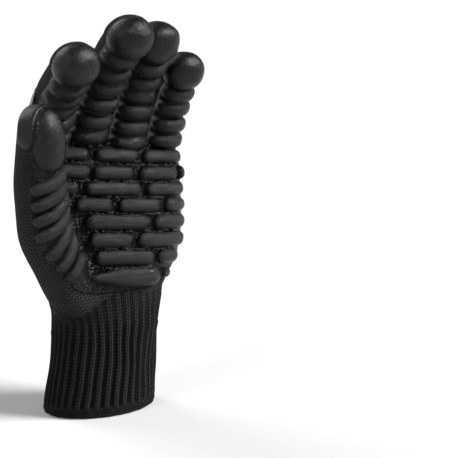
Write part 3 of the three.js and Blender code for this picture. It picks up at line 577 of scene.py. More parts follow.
class Paint:
    """A material and its nodes: sockets and numbers go in, sockets come out."""

    def __init__(self, name):
        self.material = bpy.data.materials.new(name)
        self.material.use_nodes = True
        self.tree = self.material.node_tree

    def plug(self, socket, value):
        if isinstance(value, bpy.types.NodeSocket):
            self.tree.links.new(value, socket)
        else:
            socket.default_value = value

    def plug_all(self, node, inputs):
        for key, value in inputs.items():
            self.plug(node.inputs[key.replace("_", " ")], value)
        return node

    def node(self, kind, **inputs):
        return self.plug_all(self.tree.nodes.new(kind), inputs)

    def coat(self, **inputs):
        """The finished material, with its shader's own sockets set or plugged."""
        self.plug_all(self.tree.nodes["Principled BSDF"], inputs)
        return self.material

    def math(self, operation, *values):
        node = self.tree.nodes.new("ShaderNodeMath")
        node.operation = operation
        for socket, value in zip(node.inputs, values):
            self.plug(socket, value)
        return node.outputs[0]

    def ramp(self, value, lo, hi, low, high):
        """value's range lo to hi mapped onto low to high, held at the ends."""
        node = self.tree.nodes.new("ShaderNodeMapRange")
        for socket, v in zip(node.inputs, (value, lo, hi, low, high)):
            self.plug(socket, v)
        return node.outputs[0]

    def blend(self, share, low, high):
        node = self.tree.nodes.new("ShaderNodeMix")
        node.data_type = "RGBA"
        for socket, value in ((0, share), (6, low), (7, high)):
            self.plug(node.inputs[socket], value)
        return node.outputs[2]

    def noise(self, size, detail=3.0, rough=0.55):
        """Noise whose bumps are about `size` millimetres wide."""
        place = self.tree.nodes.new("ShaderNodeTexCoord").outputs["Object"]
        inputs = {"Vector": place, "Scale": 1 / (size * MM), "Detail": detail, "Roughness": rough}
        return self.node("ShaderNodeTexNoise", **inputs).outputs[0]

    def bump(self, height, depth, **below):
        """A bump of `depth` millimetres for heights from 0 to 1, on top of another one that Normal names."""
        node = self.node("ShaderNodeBump", Height=height, Strength=1.0, Distance=depth * MM, **below)
        return node.outputs[0]

    def wale_and_course(self):
        """The knit's own coordinates: a whole number for each wale and each course."""
        uv = self.tree.nodes.new("ShaderNodeUVMap")
        uv.uv_map = "knit"
        split = self.node("ShaderNodeSeparateXYZ", Vector=uv.outputs[0])
        return split.outputs[0], split.outputs[1]

    def crest(self, low):
        """Painted shade for a ribbed knit: 1 on every other wale, which lies on a rib, and low on the ones
        between, in its valleys.
        """
        wave = self.math("SINE", self.math("MULTIPLY", self.wale_and_course()[0], math.pi))
        return self.ramp(wave, -0.35, 0.6, low, 1.0)

    def wavering(self, value, size, waver):
        """A coordinate that slowly wanders to both sides."""
        off = self.math("SUBTRACT", self.noise(size, 1), 0.5)
        return self.math("ADD", value, self.math("MULTIPLY", off, waver))

    def stitches(self, slope=1.5, waver=0.25):
        """The height of knit stitches, 0 in the gaps to 1 on the yarn: columns of V's along the courses."""
        u, v = self.wale_and_course()
        u, v = self.wavering(u, 9, waver), self.wavering(v, 7, waver)
        side = self.math("ABSOLUTE", self.math("SUBTRACT", self.math("FRACT", u), 0.5))
        across = self.math("SINE", self.math("MULTIPLY", side, 2 * math.pi))
        across = self.math("POWER", self.math("MAXIMUM", across, 0.0), 0.9)
        step = self.math("FRACT", self.math("SUBTRACT", v, self.math("MULTIPLY", side, slope)))
        length = self.math("POWER", self.math("SINE", self.math("MULTIPLY", step, math.pi)), 1.6)
        return self.math("MULTIPLY", across, self.math("MULTIPLY_ADD", length, 0.93, 0.07))


def knit_material(name, tint=1.0, waver=0.25, valley_shade=1.0):
    """Black knit; on a ribbed one, every other wale, the one in a rib's valley, is darkened to the given
    share as painted shade.
    """
    paint = Paint(name)
    yarn = paint.stitches(waver=waver)
    fuzz = paint.noise(0.5, 4.0, 0.7)
    blotch = paint.noise(14.0, 3.0, 0.6)
    dark = (0.0003 * tint, 0.0003 * tint, 0.0004 * tint, 1)
    light = (0.06 * tint, 0.059 * tint, 0.063 * tint, 1)
    shade = paint.math("MULTIPLY", yarn, paint.ramp(blotch, 0.3, 0.7, 0.65, 1.0))
    shade = paint.math("MULTIPLY", shade, paint.ramp(fuzz, 0.3, 0.7, 0.6, 1.25))
    # painted shade: the wales in the rib valleys are darkened
    if valley_shade < 1:
        shade = paint.math("MULTIPLY", shade, paint.crest(valley_shade))
    return paint.coat(
        Base_Color=paint.blend(shade, dark, light),
        Roughness=paint.ramp(fuzz, 0.3, 0.7, 0.78, 0.95),
        Sheen_Weight=0.02,
        Sheen_Roughness=0.5,
        Specular_IOR_Level=0.08,
        Normal=paint.bump(fuzz, 0.12, Normal=paint.bump(yarn, 1.0)),
    )


def rubber_material(name, color=(0.0024, 0.0023, 0.0027), grain=0.95, depth=0.28, rough=(0.13, 0.25)):
    """Moulded rubber foam: a fine pebbled grain over slow dents, with a tone and a gloss that wander."""
    paint = Paint(name)
    pebble = paint.ramp(paint.noise(grain, 3.0, 0.6), 0.36, 0.64, 0.0, 1.0)
    dent = paint.noise(4.5, 2.0, 0.5)
    mottle = paint.noise(11.0, 3.0, 0.6)
    low, high = (tuple(share * c for c in color) + (1,) for share in (0.62, 1.55))
    tone = paint.math("MULTIPLY_ADD", pebble, 0.6, paint.ramp(mottle, 0.35, 0.65, 0, 0.4))
    return paint.coat(
        Base_Color=paint.blend(tone, low, high),
        Roughness=paint.ramp(mottle, 0.3, 0.7, *rough),
        Specular_IOR_Level=0.24,
        Normal=paint.bump(pebble, depth, Normal=paint.bump(dent, 0.5)),
    )


def film_material(name):
    """Rubber film soaked into the knit: a wet net of stitches."""
    paint = Paint(name)
    yarn = paint.stitches(slope=1.2, waver=0.5)
    pebble = paint.noise(0.7, 3.0, 0.6)
    net = paint.math("MULTIPLY", yarn, paint.ramp(paint.noise(3.0, 2.0), 0.35, 0.6, 0.35, 1.0))
    return paint.coat(
        Base_Color=paint.blend(net, (0.0012, 0.0012, 0.0014, 1), (0.006, 0.0058, 0.0065, 1)),
        Roughness=paint.ramp(pebble, 0.35, 0.65, 0.12, 0.32),
        Specular_IOR_Level=0.2,
        Normal=paint.bump(pebble, 0.18, Normal=paint.bump(net, 0.9)),
    )


knit = knit_material("black_knit")
# The rib knit is darker all over by tint 0.66 as painted shade, and its valley wales are darkened to 0.22 of
# that as painted shade
cuff_knit = knit_material("black_rib_knit_painted_shade", tint=0.66, waver=0.12, valley_shade=0.22)
hem_knit = knit_material("black_hem_thread", tint=0.4, waver=0.12)
rubber = rubber_material("moulded_rubber")
smooth_rubber = rubber_material("smooth_moulded_rubber", grain=0.8, depth=0.12, rough=(0.2, 0.32))
film = film_material("wet_film")
# The beads' pale grey colour is a painted highlight, standing in for the glints of the wet film
bead = rubber_material("wet_bead_painted_glint", (0.09, 0.088, 0.095), grain=0.6, depth=0.05, rough=(0.1, 0.2))
pad_skin = rubber_material("grained_pad_skin", (0.1, 0.096, 0.112), grain=1.1, depth=0.26, rough=(0.38, 0.55))
film_rim = rubber_material("rim_rubber", grain=0.6, depth=0.15, rough=(0.25, 0.4))


def dressed(obj, material, nodes):
    """A visible piece: it has its material, rides on the body and stands for its CAD nodes."""
    obj.data.polygons.foreach_set("use_smooth", np.ones(len(obj.data.polygons), bool))
    obj.data.materials.append(material)
    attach(obj, BODY)
    if nodes:
        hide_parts(*nodes)
    return obj


def piece(name, points, faces, material, nodes, slot, uv=None, fill=None):
    """A visible piece from points in millimetres."""
    return dressed(linked(name, new_mesh(name, points, faces, uv)), material, nodes)


def cushion(node, points, faces, material, fill=0.9):
    """A padded piece of rubber in a node's place."""
    return piece(node + "_cushion", points, faces, material, [node], "rubber", fill=fill)


# Knit shell: one continuous skin of palm, web and digits, open at the wrist


def section_share():
    """The share of the way round the palm's section for an angle of its formula, by arc length."""
    turn = np.linspace(-np.pi, np.pi, 721)
    x, y = oval(turn, PALM_WIDTH / 2, 0.75 * PALM_DEPTH / 2, 2.4)
    run = np.append(0, np.cumsum(np.hypot(np.diff(x), np.diff(y))))
    return turn, run / run[-1]


def unwrapped(u, count):
    """Wale numbers that start again after `count`, with all corners of a face on one side of that seam."""
    return u[:, :1] + (u - u[:, :1] + count / 2) % count - count / 2


def knit_uv(points, quads):
    """Wale and course numbers at each face corner: along the digits on them, up the palm elsewhere."""
    at = np.clip((points[:, 2] - CUFF_LENGTH) / PALM_LENGTH, 0, 1)
    row = smooth_row(PALM_ROWS, at)
    x = (points[:, 0] - row["side"] * PALM_WIDTH) / (row["wide"] * PALM_WIDTH / 2)
    y = (points[:, 1] + row["front"] * PALM_DEPTH) / (np.maximum(row["deep"], 0.6) * PALM_DEPTH / 2)
    turn = np.arctan2(np.sign(y) * np.abs(y) ** 1.2, np.sign(x) * np.abs(x) ** 1.2)
    u = np.interp(turn, *section_share()) * PALM_WALES
    v = points[:, 2] / COURSE
    best = np.full(len(quads), HOOD_GAP)
    corner_u, corner_v = u[quads], v[quads]
    count = np.full(len(quads), float(PALM_WALES))
    for digit in digits:
        s, angle, distance = digit.near(points)
        wales, start = FINGER_WALES, FINGER_WALES_FROM
        if digit is thumb:
            wales, start = THUMB_WALES, THUMB_WALES_FROM
        face_s, face_gap = s[quads].mean(1), np.abs(distance[quads]).mean(1)
        near = face_gap < np.where(face_s > HOOD_FROM, HOOD_GAP, ROOT_GAP)
        mine = (face_s > start) & (face_gap < best) & near
        best = np.where(mine, face_gap, best)
        corner_u[mine] = (angle[quads] / (2 * np.pi) * wales)[mine]
        corner_v[mine] = (s[quads] / COURSE)[mine]
        count[mine] = wales
    return np.stack([unwrapped(corner_u, count[:, None]), corner_v], -1)


solids = [palm_solid(), web_solid(), thumb.solid(root=THUMB_START)] + [digit.solid() for digit in fingers]
solids += [tip_hood(digit) for digit in fingers]
shell_points, shell_quads = remeshed(*joined(solids), SHELL_VOXEL)
shell_points = smoothed(shell_points, shell_quads, SHELL_ROUNDS)
wrist = smoothstep(*WRIST_IN, shell_points[:, 2:]) * smoothstep(*WRIST_OUT, shell_points[:, 2:])
shell_points = smoothed(shell_points, shell_quads, WRIST_ROUNDS, grow=0.0, share=wrist)
surface = BVHTree.FromPolygons(shell_points.tolist(), shell_quads.tolist())
knit_corners = knit_uv(shell_points, shell_quads)


def with_inside(points, quads, uv, wall):
    """The open skin with a second one `wall` inside it, joined along its open edge."""
    inner = points - normals_of(points, quads) * wall
    start = len(points)
    sides = np.vstack([quads[:, [k, (k + 1) % 4]] for k in range(4)])
    key = np.sort(sides, axis=1)
    _, index, count = np.unique(key, axis=0, return_index=True, return_counts=True)
    rim = sides[index[count == 1]]
    rim_quads = np.stack([rim[:, 1], rim[:, 0], rim[:, 0] + start, rim[:, 1] + start], -1)
    faces = np.vstack([quads, quads[:, ::-1] + start, rim_quads])
    corners = np.concatenate([uv, uv[:, ::-1], np.zeros((len(rim), 4, 2))])
    return np.vstack([points, inner]), faces.tolist(), corners


def knit_shell():
    above = (shell_points[shell_quads][:, :, 2] > SHELL_FOOT + 2).all(1)
    skin = kept_faces(shell_points, shell_quads, above)
    points, faces, uv = with_inside(*skin, knit_corners[above], KNIT_WALL)
    nodes = ["palm_knit"] + [digit.name + "_knit" for digit in digits]
    piece("knit_shell", points, faces, knit, nodes, "knit", uv=uv)


# Cuff: ribs in real relief that fade into the plain knit above


def ripples(turn, z, *waves):
    """Waves on a tube, each with its height, how many go round and its length up, in millimetres."""
    return sum(high * np.sin(count * turn + z / length) for high, count, length in waves)


def flare(middle, way, outer, z):
    """How far the shell stands out of the plain cuff, so that the cuff's top lies over it."""
    gap = np.zeros(outer.shape[:2])
    for i, j in np.argwhere(np.broadcast_to(z > FLARE_FROM, gap.shape)):
        hit = surface.ray_cast(Vector(middle[i, j] + way[i, j] * PALM_WIDTH), Vector(-way[i, j]))[0]
        if hit is not None:
            gap[i, j] = (np.array(hit) - outer[i, j]) @ way[i, j]
    soft = np.log1p(np.exp(np.clip(gap, -20, 40) / FLARE_BLEND))
    return FLARE_BLEND * soft * smoothstep(FLARE_FROM, FLARE_FROM + 6, z)


def ribbed_cuff():
    top = CUFF_LENGTH + CUFF_OVER
    turn = round_angles(CUFF_RIBS * RIB_STEPS)
    z = np.linspace(HEM_HEIGHT - CUFF_UNDER, top, CUFF_STEPS)[:, None]
    share = turn / (2 * np.pi) * CUFF_RIBS + ripples(turn, z, *RIB_WAVER)
    thumb_side = np.clip(np.cos(turn - CUFF_THUMB_ANGLE), 0, 1)
    fade = smoothstep(0, 1, (RIB_FADE_END - RIB_FADE_EARLY * thumb_side - z / CUFF_LENGTH) / RIB_FADE_OVER)
    crest = 1 - np.abs(np.sin(np.pi * share)) ** 3
    slow = ripples(turn, z, *CUFF_SWELLS) * smoothstep(HEM_HEIGHT, 25, z)
    relief = CUFF_RIB_HEIGHT * (1.2 * crest - 0.2) * fade + slow
    dip = -CUFF_DIP * smoothstep(CUFF_LENGTH - 5, top, z) + CUFF_PUFF
    outer = cuff_point(turn, z)
    row = smooth_row(CUFF_ROWS, z / CUFF_LENGTH)
    centre = [row["side"] * CUFF_WIDTH, -row["front"] * CUFF_DEPTH, z, turn]
    middle = np.stack(np.broadcast_arrays(*centre)[:3], -1)
    way = unit(outer - middle)
    outer = outer + way * (relief + dip + flare(middle, way, outer, z))[..., None]
    there_and_back = lambda up, down: np.concatenate([up, down[::-1]])
    points, faces = lofted(there_and_back(outer, cuff_point(turn, z, -KNIT_WALL)), loop=True)
    corners = np.stack([share * 2 + 0.5, z / COURSE + 0 * turn], -1)
    uv = there_and_back(corners, corners).reshape(-1, 2)[np.array(faces)]
    uv[:, :, 0] = unwrapped(uv[:, :, 0], 2 * CUFF_RIBS)
    piece("ribbed_cuff", points, faces, cuff_knit, ["cuff_ribbed"], "knit", uv=uv)


def hem_band():
    """The overlocked edge: a rounded band wound with slanting threads."""
    turn = round_angles(HEM_THREADS * THREAD_STEPS)[:, None]
    phi = round_angles(HEM_SECTION)
    a, b = oval(phi, HEM_WALL / 2 + HEM_BULGE / 2, HEM_HEIGHT / 2, 3.0)
    slant = HEM_THREADS * turn / (2 * np.pi) + 0.22 * phi
    swell = 0.32 * np.abs(np.sin(np.pi * slant)) ** 0.6 * np.where(a > -0.5, 1, 0.3)
    lump = 0.12 * np.sin(17 * turn) + 0.1 * np.sin(29 * turn + 1)
    out = a * (1 + swell / 2) + HEM_BULGE - HEM_WALL / 2 + 0.1 + lump
    z = np.maximum(HEM_HEIGHT / 2 + b * 1.02, 0.0)
    points, faces = lofted(cuff_point(turn, z, out), loop=True)
    corners = np.stack(np.broadcast_arrays(slant, phi * 2), -1)
    uv = corners.reshape(-1, 2)[np.array(faces)]
    uv[:, :, 0] = unwrapped(uv[:, :, 0], HEM_THREADS)
    piece("hem_band", points, [face[::-1] for face in faces], hem_knit, ["cuff_hem"], "knit", uv=uv[:, ::-1])


# Rubber on the skin


def cast(origins, ways):
    """Where rays first meet the skin, with the skin's normals there; a miss takes the nearest point."""
    points, normals = [], []
    for origin, way in zip(*np.broadcast_arrays(np.atleast_2d(origins), ways)):
        hit, normal, _, _ = surface.ray_cast(Vector(origin), Vector(way))
        if hit is None:
            hit, normal, _, _ = surface.find_nearest(Vector(origin))
        points.append(hit)
        normals.append(normal)
    return np.array(points, float), np.array(normals, float)


def along_path(path, values, at):
    run = np.append(0, np.cumsum(np.linalg.norm(np.diff(path, axis=0), axis=1)))
    return np.stack([np.interp(at, run, values[:, k]) for k in range(values.shape[1])], -1)


def evened(values, rounds):
    """A run of vectors, evened out along it with its ends kept."""
    values = values.copy()
    for _ in range(rounds):
        values[1:-1] = (values[:-2] + 2 * values[1:-1] + values[2:]) / 4
    return values


def bar(path, out, width, height, sink=1.2, around=20, square=2.8, taper=0.6, shares=None, narrow=None):
    """A cushion bar with round ends on the skin: out is the way out, shares those of its height along it."""
    total = np.linalg.norm(np.diff(path, axis=0), axis=1).sum()
    half = min(width / 2, total * 0.45)
    cap = half * (1 - np.cos(np.radians(np.linspace(4, 90, 8))))
    middle = np.linspace(half, total - half, max(int((total - 2 * half) / 1.6), 2))[1:-1]
    at = np.concatenate([cap, middle, total - cap[::-1]])
    points, out = along_path(path, path, at), unit(along_path(path, out, at))
    tangent = unit(np.gradient(points, axis=0))
    out = unit(out - tangent * (out * tangent).sum(-1, keepdims=True))
    across = np.cross(tangent, out)
    edge = np.minimum(at, total - at)
    full = np.sqrt(np.clip(1 - (1 - np.clip(edge / half, 0, 1)) ** 2, 0.0005, 1))[:, None]
    if shares is not None:
        height = height * np.interp(at, np.linspace(0, total, len(shares)), shares)[:, None]
    if narrow is not None:
        width = width * (narrow + (1 - narrow) * smoothstep(0, 0.55 * total, at))[:, None]
    a, b = oval(round_angles(around)[None], 1.0, 1.0, square)
    side = a * full * width / 2
    rise = np.where(b > 0, b * height * full**taper, b * sink * full)
    return lofted(points[:, None] + across[:, None] * side[..., None] + out[:, None] * rise[..., None])


def wobbled(points, seed, size=0.18, wave=7.0):
    """Slow uneven swells of a moulded surface, the same for a seed each time."""
    rng = np.random.default_rng(seed)
    shift = np.zeros_like(points)
    for _ in range(4):
        way = unit(rng.normal(size=3))
        push = unit(rng.normal(size=3))
        shift += np.sin(points @ way * 2 * np.pi / wave + rng.uniform(0, 6))[:, None] * push * size / 2
    return points + shift


def rib_height(rise, x):
    """How high a row of palm ribs lies at x, for its rise in palm lengths."""
    return CUFF_LENGTH + (rise - RIB_SLOPE * (x / PALM_WIDTH - RIB_LEVEL)) * PALM_LENGTH


def palm_ribs():
    for number, row in enumerate(PALM_RIBS, 1):
        width, height = (RIB_WIDTH + RIB_PUFF) * row["tall"], RIB_HEIGHT * min(row["tall"], 1.0)
        narrow = POINTED_END if row["tall"] > POINTED_FROM else None
        for letter, (left, right) in zip("abcd", row["spans"]):
            x = np.linspace(left, right, PATH_POINTS) * PALM_WIDTH
            origins = np.stack([x, x * 0 - 2 * PALM_DEPTH, rib_height(row["rise"], x)], -1)
            path, out = cast(origins, (0.0, 1.0, 0.0))
            path, out = evened(path, PATH_ROUNDS), evened(out, OUT_ROUNDS)
            points, faces = bar(path, out, width, height, square=2.5, narrow=narrow)
            cushion(f"palm_rib_{number}{letter}", wobbled(points, number * 10 + ord(letter)), faces, rubber)


def stitch_dots():
    """Glossy beads where the film bridges the stitches, in a broken line between the rows of palm ribs; their
    pale grey colour is a painted highlight, standing in for the wet film's glints.
    """
    rng = np.random.default_rng(7)
    rises = [row["rise"] for row in PALM_RIBS[:-1]]
    between = [DOT_ROW_ABOVE] + [(a + b) / 2 for a, b in zip(rises[:-1], rises[1:])]
    parts = []
    for rise, row in zip(between, PALM_RIBS):
        left, right = row["spans"][0][0] * PALM_WIDTH, row["spans"][-1][1] * PALM_WIDTH - DOT_ROW_SHORT
        for x in np.arange(left, right, DOT_PITCH):
            aside, up = rng.normal(size=2) * DOT_SCATTER
            size = rng.uniform(*DOT_SIZES)
            if rng.uniform() < DOT_GAPS:
                continue
            path, out = cast((x + aside, -2 * PALM_DEPTH, rib_height(rise, x) + up), (0.0, 1.0, 0.0))
            out = unit(out[0])
            right_way = unit(np.cross(out, (0.0, 0.0, 1.0)))
            axes = (right_way, np.cross(right_way, out), out)
            halves = np.array(DOT_HALVES) * DOT_SIZE * size
            parts.append(egg(path[0] + out * (FILM + DOT_LIFT), axes, halves, square=2, rings=7, around=8))
    piece("palm_stitch_dots", *joined(parts), bead, [], "film")


def thumb_ribs():
    for number, row in enumerate(THUMB_RIBS, 1):
        t = np.linspace(0, 1, PATH_POINTS)
        angle = np.radians(row["from"] + t * (row["to"] - row["from"]))
        s = row["s"] * THUMB_LENGTH + (t - 0.5) * row["climb"] * RIB_PITCH
        outside = thumb.on(s, angle, 3 * THUMB_WIDTH)
        path, out = cast(outside, thumb.at(s)[0] - outside)
        points, faces = bar(evened(path, PATH_ROUNDS), evened(out, OUT_ROUNDS), THUMB_RIB_WIDTH, RIB_HEIGHT)
        cushion(f"thumb_rib_{number}", wobbled(points, 200 + number), faces, rubber)


def finger_pad_size(digit):
    """A finger pad's length, its half width and how far it rises past the fingertip."""
    across = 2 * float(digit.width(digit.length))
    return PAD_LONG * across, (across + 1.4 * PAD_HEIGHT) / 2 + PAD_PUFF, PAD_RISE * PAD_HEIGHT


def finger_grips():
    """On each finger, a film on the palm side with its ribs, melted together."""
    turn = np.radians(np.linspace(-GRIP_HALF_ANGLE, GRIP_HALF_ANGLE, 28))[None]
    edge = smoothstep(0, 1, (np.radians(GRIP_HALF_ANGLE) - np.abs(turn)) / GRIP_EDGE)
    angle = np.radians(np.linspace(-GRIP_RIB_ANGLE, GRIP_RIB_ANGLE, 36))
    shares = 1 - GRIP_RIB_DROOP * np.abs(np.linspace(-1, 1, 36)) ** 3
    for number, digit in enumerate(fingers):
        long, _, rise = finger_pad_size(digit)
        start = digit.length - long + rise
        last = start - 0.3 * RIB_WIDTH
        count = round(last / RIB_PITCH) + 1
        s = np.linspace(GRIP_START, start + RIB_WIDTH, 60)[:, None]
        reach = digit.width(s)
        upper = digit.on(s, turn, reach + GRIP_OVER + (FILM - 0.2) * edge)
        lower = digit.on(s, turn, reach - GRIP_UNDER)
        parts = [lofted(np.concatenate([upper, lower[:, ::-1]], axis=1))]
        for place in last * np.arange(count) / (count - 1):
            path = digit.on(place, angle, digit.width(place))
            out = unit(digit.on(place, angle, digit.width(place) + 1) - path)
            parts.append(bar(path, out, GRIP_RIB_WIDTH, GRIP_RIB_HEIGHT, square=2.4, shares=shares))
        points, quads = remeshed(*joined(parts), GRIP_VOXEL)
        points = wobbled(smoothed(points, quads, 1), 300 + number)
        piece(digit.name + "_grip_ribs", points, quads.tolist(), rubber, [digit.name + "_grip"], "rubber")


def tip_pad(digit, seed, long, half_wide, rise, height, back, tilt, square):
    """A smooth pad over a digit's tip, from its palm side round to the nail's side."""
    r = float(digit.width(digit.length))
    point, along, palm, side = digit.at(digit.length - long / 2 + rise)
    top, bottom = r * digit.flat + height, -back * r
    halves = (half_wide, (top - bottom) / 2, long / 2)
    points, faces = egg(point + palm * (top + bottom) / 2, tilted(side, palm, along, tilt), halves, square)
    points = wobbled(points, seed, size=0.25, wave=12)
    cushion(digit.name + "_tip_pad", points, faces, smooth_rubber, fill=0.95)


def tip_pads():
    for number, digit in enumerate(fingers):
        long, half_wide, rise = finger_pad_size(digit)
        tip_pad(digit, 400 + number, long, half_wide, rise, PAD_HEIGHT, PAD_BACK, PAD_TILT, PAD_SQUARE)
    tip_pad(
        thumb, 500, THUMB_PAD_LENGTH, THUMB_PAD_WIDTH / 2, THUMB_PAD_RISE, THUMB_PAD_HEIGHT,
        THUMB_PAD_BACK, THUMB_PAD_TILT, THUMB_PAD_SQUARE,
    )


def knuckle_pad():
    """The cushion on the back: rings at shares of its half sizes, first domed, then a thin flange."""
    sides, reach = 96, 60.0
    half, tall = KNUCKLE_PAD_WIDTH / 2, KNUCKLE_PAD_LENGTH / 2
    centre = np.array([KNUCKLE_PAD_AT[0] * PALM_WIDTH, 0.0, CUFF_LENGTH + KNUCKLE_PAD_AT[1] * PALM_LENGTH])
    right, up, out = np.array([1.0, 0, 0]), np.array([0, 0, 1.0]), np.array([0, 1.0, 0])
    grow = 1 + KNUCKLE_PAD_RIM / tall
    dome = np.sin(np.radians(np.linspace(2, 88, 18)))
    profile = [(t, FILM + (KNUCKLE_PAD_HEIGHT - FILM) * (1 - t**6) ** 0.5) for t in dome]
    profile += [(1.02, 0.5), (0.5 + 0.5 * grow, 0.45), (grow - 0.03, 0.55), (grow, 0.1), (grow, -1.0)]
    rings = []
    for share, height in profile:
        a, b = oval(round_angles(sides), half * share, tall * share, 2.6)
        origins = centre + right * a[:, None] + up * b[:, None] + out * reach
        hit, normal = cast(origins, -out)
        rings.append(hit + unit(normal + out) * height)
    obj = cushion("knuckle_pad", *lofted(rings), pad_skin)
    obj.data.materials.append(film_rim)
    rim_start = (len(dome) - 1) * sides
    in_rim = [min(face.vertices) >= rim_start for face in obj.data.polygons]
    obj.data.polygons.foreach_set("material_index", np.array(in_rim, np.int32))


def on_digit(digit, rows):
    """Points on the skin round a digit, at shares of its length and angles in degrees."""
    s = np.array([at * digit.length for at, _ in rows])
    outside = digit.on(s, np.radians([turn for _, turn in rows]), STRIP_RAY * THUMB_WIDTH)
    return cast(outside, digit.at(s)[0] - outside)


def crotch_strip():
    """A smooth band from the index round the crotch, up the thumb's inner side and over its tip."""
    index = on_digit(fingers[0], STRIP_INDEX)
    inner = on_digit(thumb, STRIP_THUMB)
    outer = on_digit(thumb, STRIP_OUTER)
    point, along, palm, side = thumb.at(thumb.length - thumb.width(thumb.length))
    turn, tilt = np.radians(np.array(STRIP_TIP, float)).T[..., None]
    way = (side * np.cos(turn) + along * np.sin(turn)) * np.cos(tilt) - palm * np.sin(tilt)
    tip = cast(point + way * STRIP_RAY * THUMB_WIDTH, -way)
    centre = (index[0][-1] + inner[0][0]) / 2
    start = unit(index[0][-1] - centre)
    down = unit((thumb.at(0.0)[0] + fingers[0].at(-FINGER_ROOT)[0]) / 2 - centre)
    turn = np.pi * np.array(STRIP_FAN)[:, None]
    fan = cast(centre, start * np.cos(turn) + down * np.sin(turn))
    path, out = (curve_through(np.vstack(runs), 160) for runs in zip(index, fan, inner, tip, outer))
    held = evened(np.array([surface.find_nearest(Vector(p))[0] for p in path]), 6)
    points, faces = bar(
        held, evened(unit(out), 12), STRIP_WIDTH, STRIP_HEIGHT,
        sink=2.4, around=24, square=3.4, taper=1.4, shares=STRIP_SHARES,
    )
    points = wobbled(points, 600, wave=15)
    piece("crotch_strip_band", points, faces, smooth_rubber, ["crotch_strip"], "rubber")


# Palm film: the skin's own faces inside an outline, lifted, and sunk into the knit past its edge


def outline_distance(points, outline):
    """How far points lie inside a closed outline, below 0 outside."""
    inside = np.zeros(len(points), bool)
    nearest = np.full(len(points), np.inf)
    for a, b in zip(outline, np.roll(outline, -1, axis=0)):
        ab, ap = b - a, points - a
        t = np.clip((ap @ ab) / (ab @ ab), 0, 1)
        nearest = np.minimum(nearest, np.linalg.norm(ap - t[:, None] * ab, axis=1))
        crosses = (a[1] > points[:, 1]) != (b[1] > points[:, 1])
        rise = np.where(abs(ab[1]) < 1e-9, 1e-9, ab[1])
        inside ^= crosses & (points[:, 0] < a[0] + (points[:, 1] - a[1]) * ab[0] / rise)
    return np.where(inside, nearest, -nearest)


def film_depth(points):
    """How far points of the skin lie inside the film's edge, in millimetres."""
    outline = np.array(FILM_OUTLINE) * (PALM_WIDTH, PALM_LENGTH) + (0, CUFF_LENGTH)
    depth = outline_distance(points[:, [0, 2]], curve_through(outline, 140, closed=True))
    depth = np.minimum(depth, -FILM_EDGE * PALM_DEPTH - points[:, 1])
    for digit in fingers:
        s, angle, gap = digit.near(points)
        side = (math.radians(GRIP_HALF_ANGLE - FILM_IN_GRIP) - np.abs(angle)) * digit.radius
        limit = np.minimum(np.minimum(FILM_UP_FINGER - s, side), depth)
        depth = np.where((gap < NEAR_FINGER) & (s > -1), limit, depth)
    s, angle, gap = thumb.near(points)
    low, high = np.radians(THUMB_FILM_ANGLES)
    start = THUMB_FILM_FROM * THUMB_LENGTH
    low = low + math.radians(THUMB_FILM_NARROWS) * smoothstep(8, start, s)
    side = np.minimum(angle - low, high - angle) * THUMB_WIDTH / 2
    return np.maximum(depth, np.where(gap < NEAR_THUMB, np.minimum(side, s - start), -9))


def palm_film():
    keep = (film_depth(shell_points)[shell_quads] > -FILM_BEYOND).any(1)
    points, quads = kept_faces(shell_points, shell_quads, keep)
    obj = linked("palm_film_sheet", new_mesh("film", points, quads.tolist(), knit_corners[keep]))
    fine = obj.modifiers.new("fine", "SUBSURF")
    fine.levels = 1
    fine.uv_smooth = "NONE"
    mesh, points, quads = evaluated(obj)
    obj.modifiers.clear()
    obj.data = mesh
    mesh.name = "palm_film_sheet"
    depth = film_depth(points)
    lift = -FILM_SINK + (FILM + FILM_RAISE) * smoothstep(*FILM_SLOPE, depth)
    lift += BEAD_HEIGHT * np.exp(-(((depth - BEAD_AT) / BEAD_WIDTH) ** 2))
    points = points + normals_of(points, quads) * lift[:, None]
    mesh.vertices.foreach_set("co", (points * MM).reshape(-1))
    thick = obj.modifiers.new("thick", "SOLIDIFY")
    thick.thickness = FILM_THICK * MM
    thick.offset = -1
    dressed(obj, film, ["palm_film"])


knit_shell()
ribbed_cuff()
hem_band()
palm_ribs()
thumb_ribs()
finger_grips()
tip_pads()
knuckle_pad()
crotch_strip()
palm_film()
stitch_dots()


# Floor and light, in metres
FLOOR_HALF, FLOOR_GAP, FLOOR_GREY = 40, 0.0004, 0.52
SKY_STRENGTH = 0.17
# Soft light from a wide part of the sky: the way to its middle, its spread in degrees and its strength
SUNS = table(
    "name way spread strength",
    ("key", (0.64, -0.5, 0.6), 24, 7.2),
    ("fill", (-1.0, -0.35, 0.55), 30, 1.3),
    ("back", (-0.3, 1.0, 0.75), 40, 1.6),
)


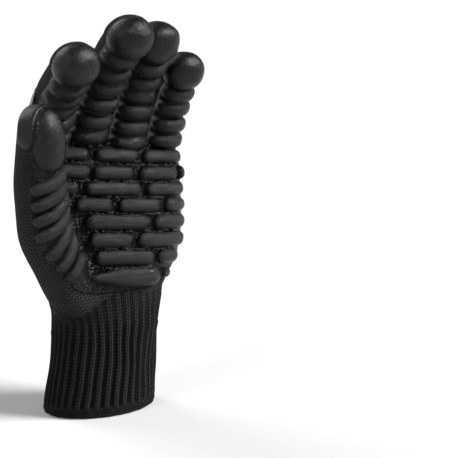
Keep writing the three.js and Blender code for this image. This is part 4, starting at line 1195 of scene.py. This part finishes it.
def studio():
    mesh = bpy.data.meshes.new("floor")
    corners = [(x * FLOOR_HALF, y * FLOOR_HALF, 0) for x, y in ((-1, -1), (1, -1), (1, 1), (-1, 1))]
    mesh.from_pydata(corners, [], [(0, 1, 2, 3)])
    mesh.materials.append(Paint("pale_floor").coat(Base_Color=(FLOOR_GREY,) * 3 + (1,), Roughness=0.9))
    floor = linked("floor", mesh)
    floor.location.z = cad_box[0].z - FLOOR_GAP

    world = bpy.data.worlds.new("studio")
    world.use_nodes = True
    world.node_tree.nodes["Background"].inputs[0].default_value = (1, 1, 1, 1)
    world.node_tree.nodes["Background"].inputs[1].default_value = SKY_STRENGTH
    bpy.context.scene.world = world
    bpy.context.scene.view_settings.view_transform = "Standard"

    for row in SUNS:
        light = bpy.data.lights.new(row["name"], "SUN")
        light.angle = math.radians(row["spread"])
        light.energy = row["strength"]
        linked(row["name"], light).rotation_euler = Vector(row["way"]).to_track_quat("Z", "Y").to_euler()


# Camera: the photograph's frame is 458 pixels square
FRAME_PIXELS = 458
AZIMUTH, ELEVATION = math.radians(-26.94), math.radians(11.44)
AIM = Vector((0, 0, 0.120))
AIM_PIXEL = (96.2, 209.7)
DISTANCE = 1.0
PIXELS_PER_METRE = 1670


def camera():
    """The camera at the photograph's angle, turned so that AIM shows at AIM_PIXEL."""
    out = math.cos(ELEVATION)
    back = Vector((math.sin(AZIMUTH) * out, -math.cos(AZIMUTH) * out, math.sin(ELEVATION)))
    focal = PIXELS_PER_METRE * DISTANCE
    data = bpy.data.cameras.new("camera")
    data.sensor_width = 36
    data.lens = focal / FRAME_PIXELS * data.sensor_width
    obj = linked("camera", data)
    obj.location = AIM + back * DISTANCE
    right = -back.cross(Vector((0, 0, 1))).normalized()
    up = back.cross(right).normalized()
    aside = (FRAME_PIXELS / 2 - AIM_PIXEL[0]) / focal
    below = (AIM_PIXEL[1] - FRAME_PIXELS / 2) / focal
    look = (-back + right * aside + up * below).normalized()
    obj.rotation_mode = "QUATERNION"
    obj.rotation_quaternion = look.to_track_quat("-Z", "Y")
    bpy.context.scene.camera = obj


studio()
camera()
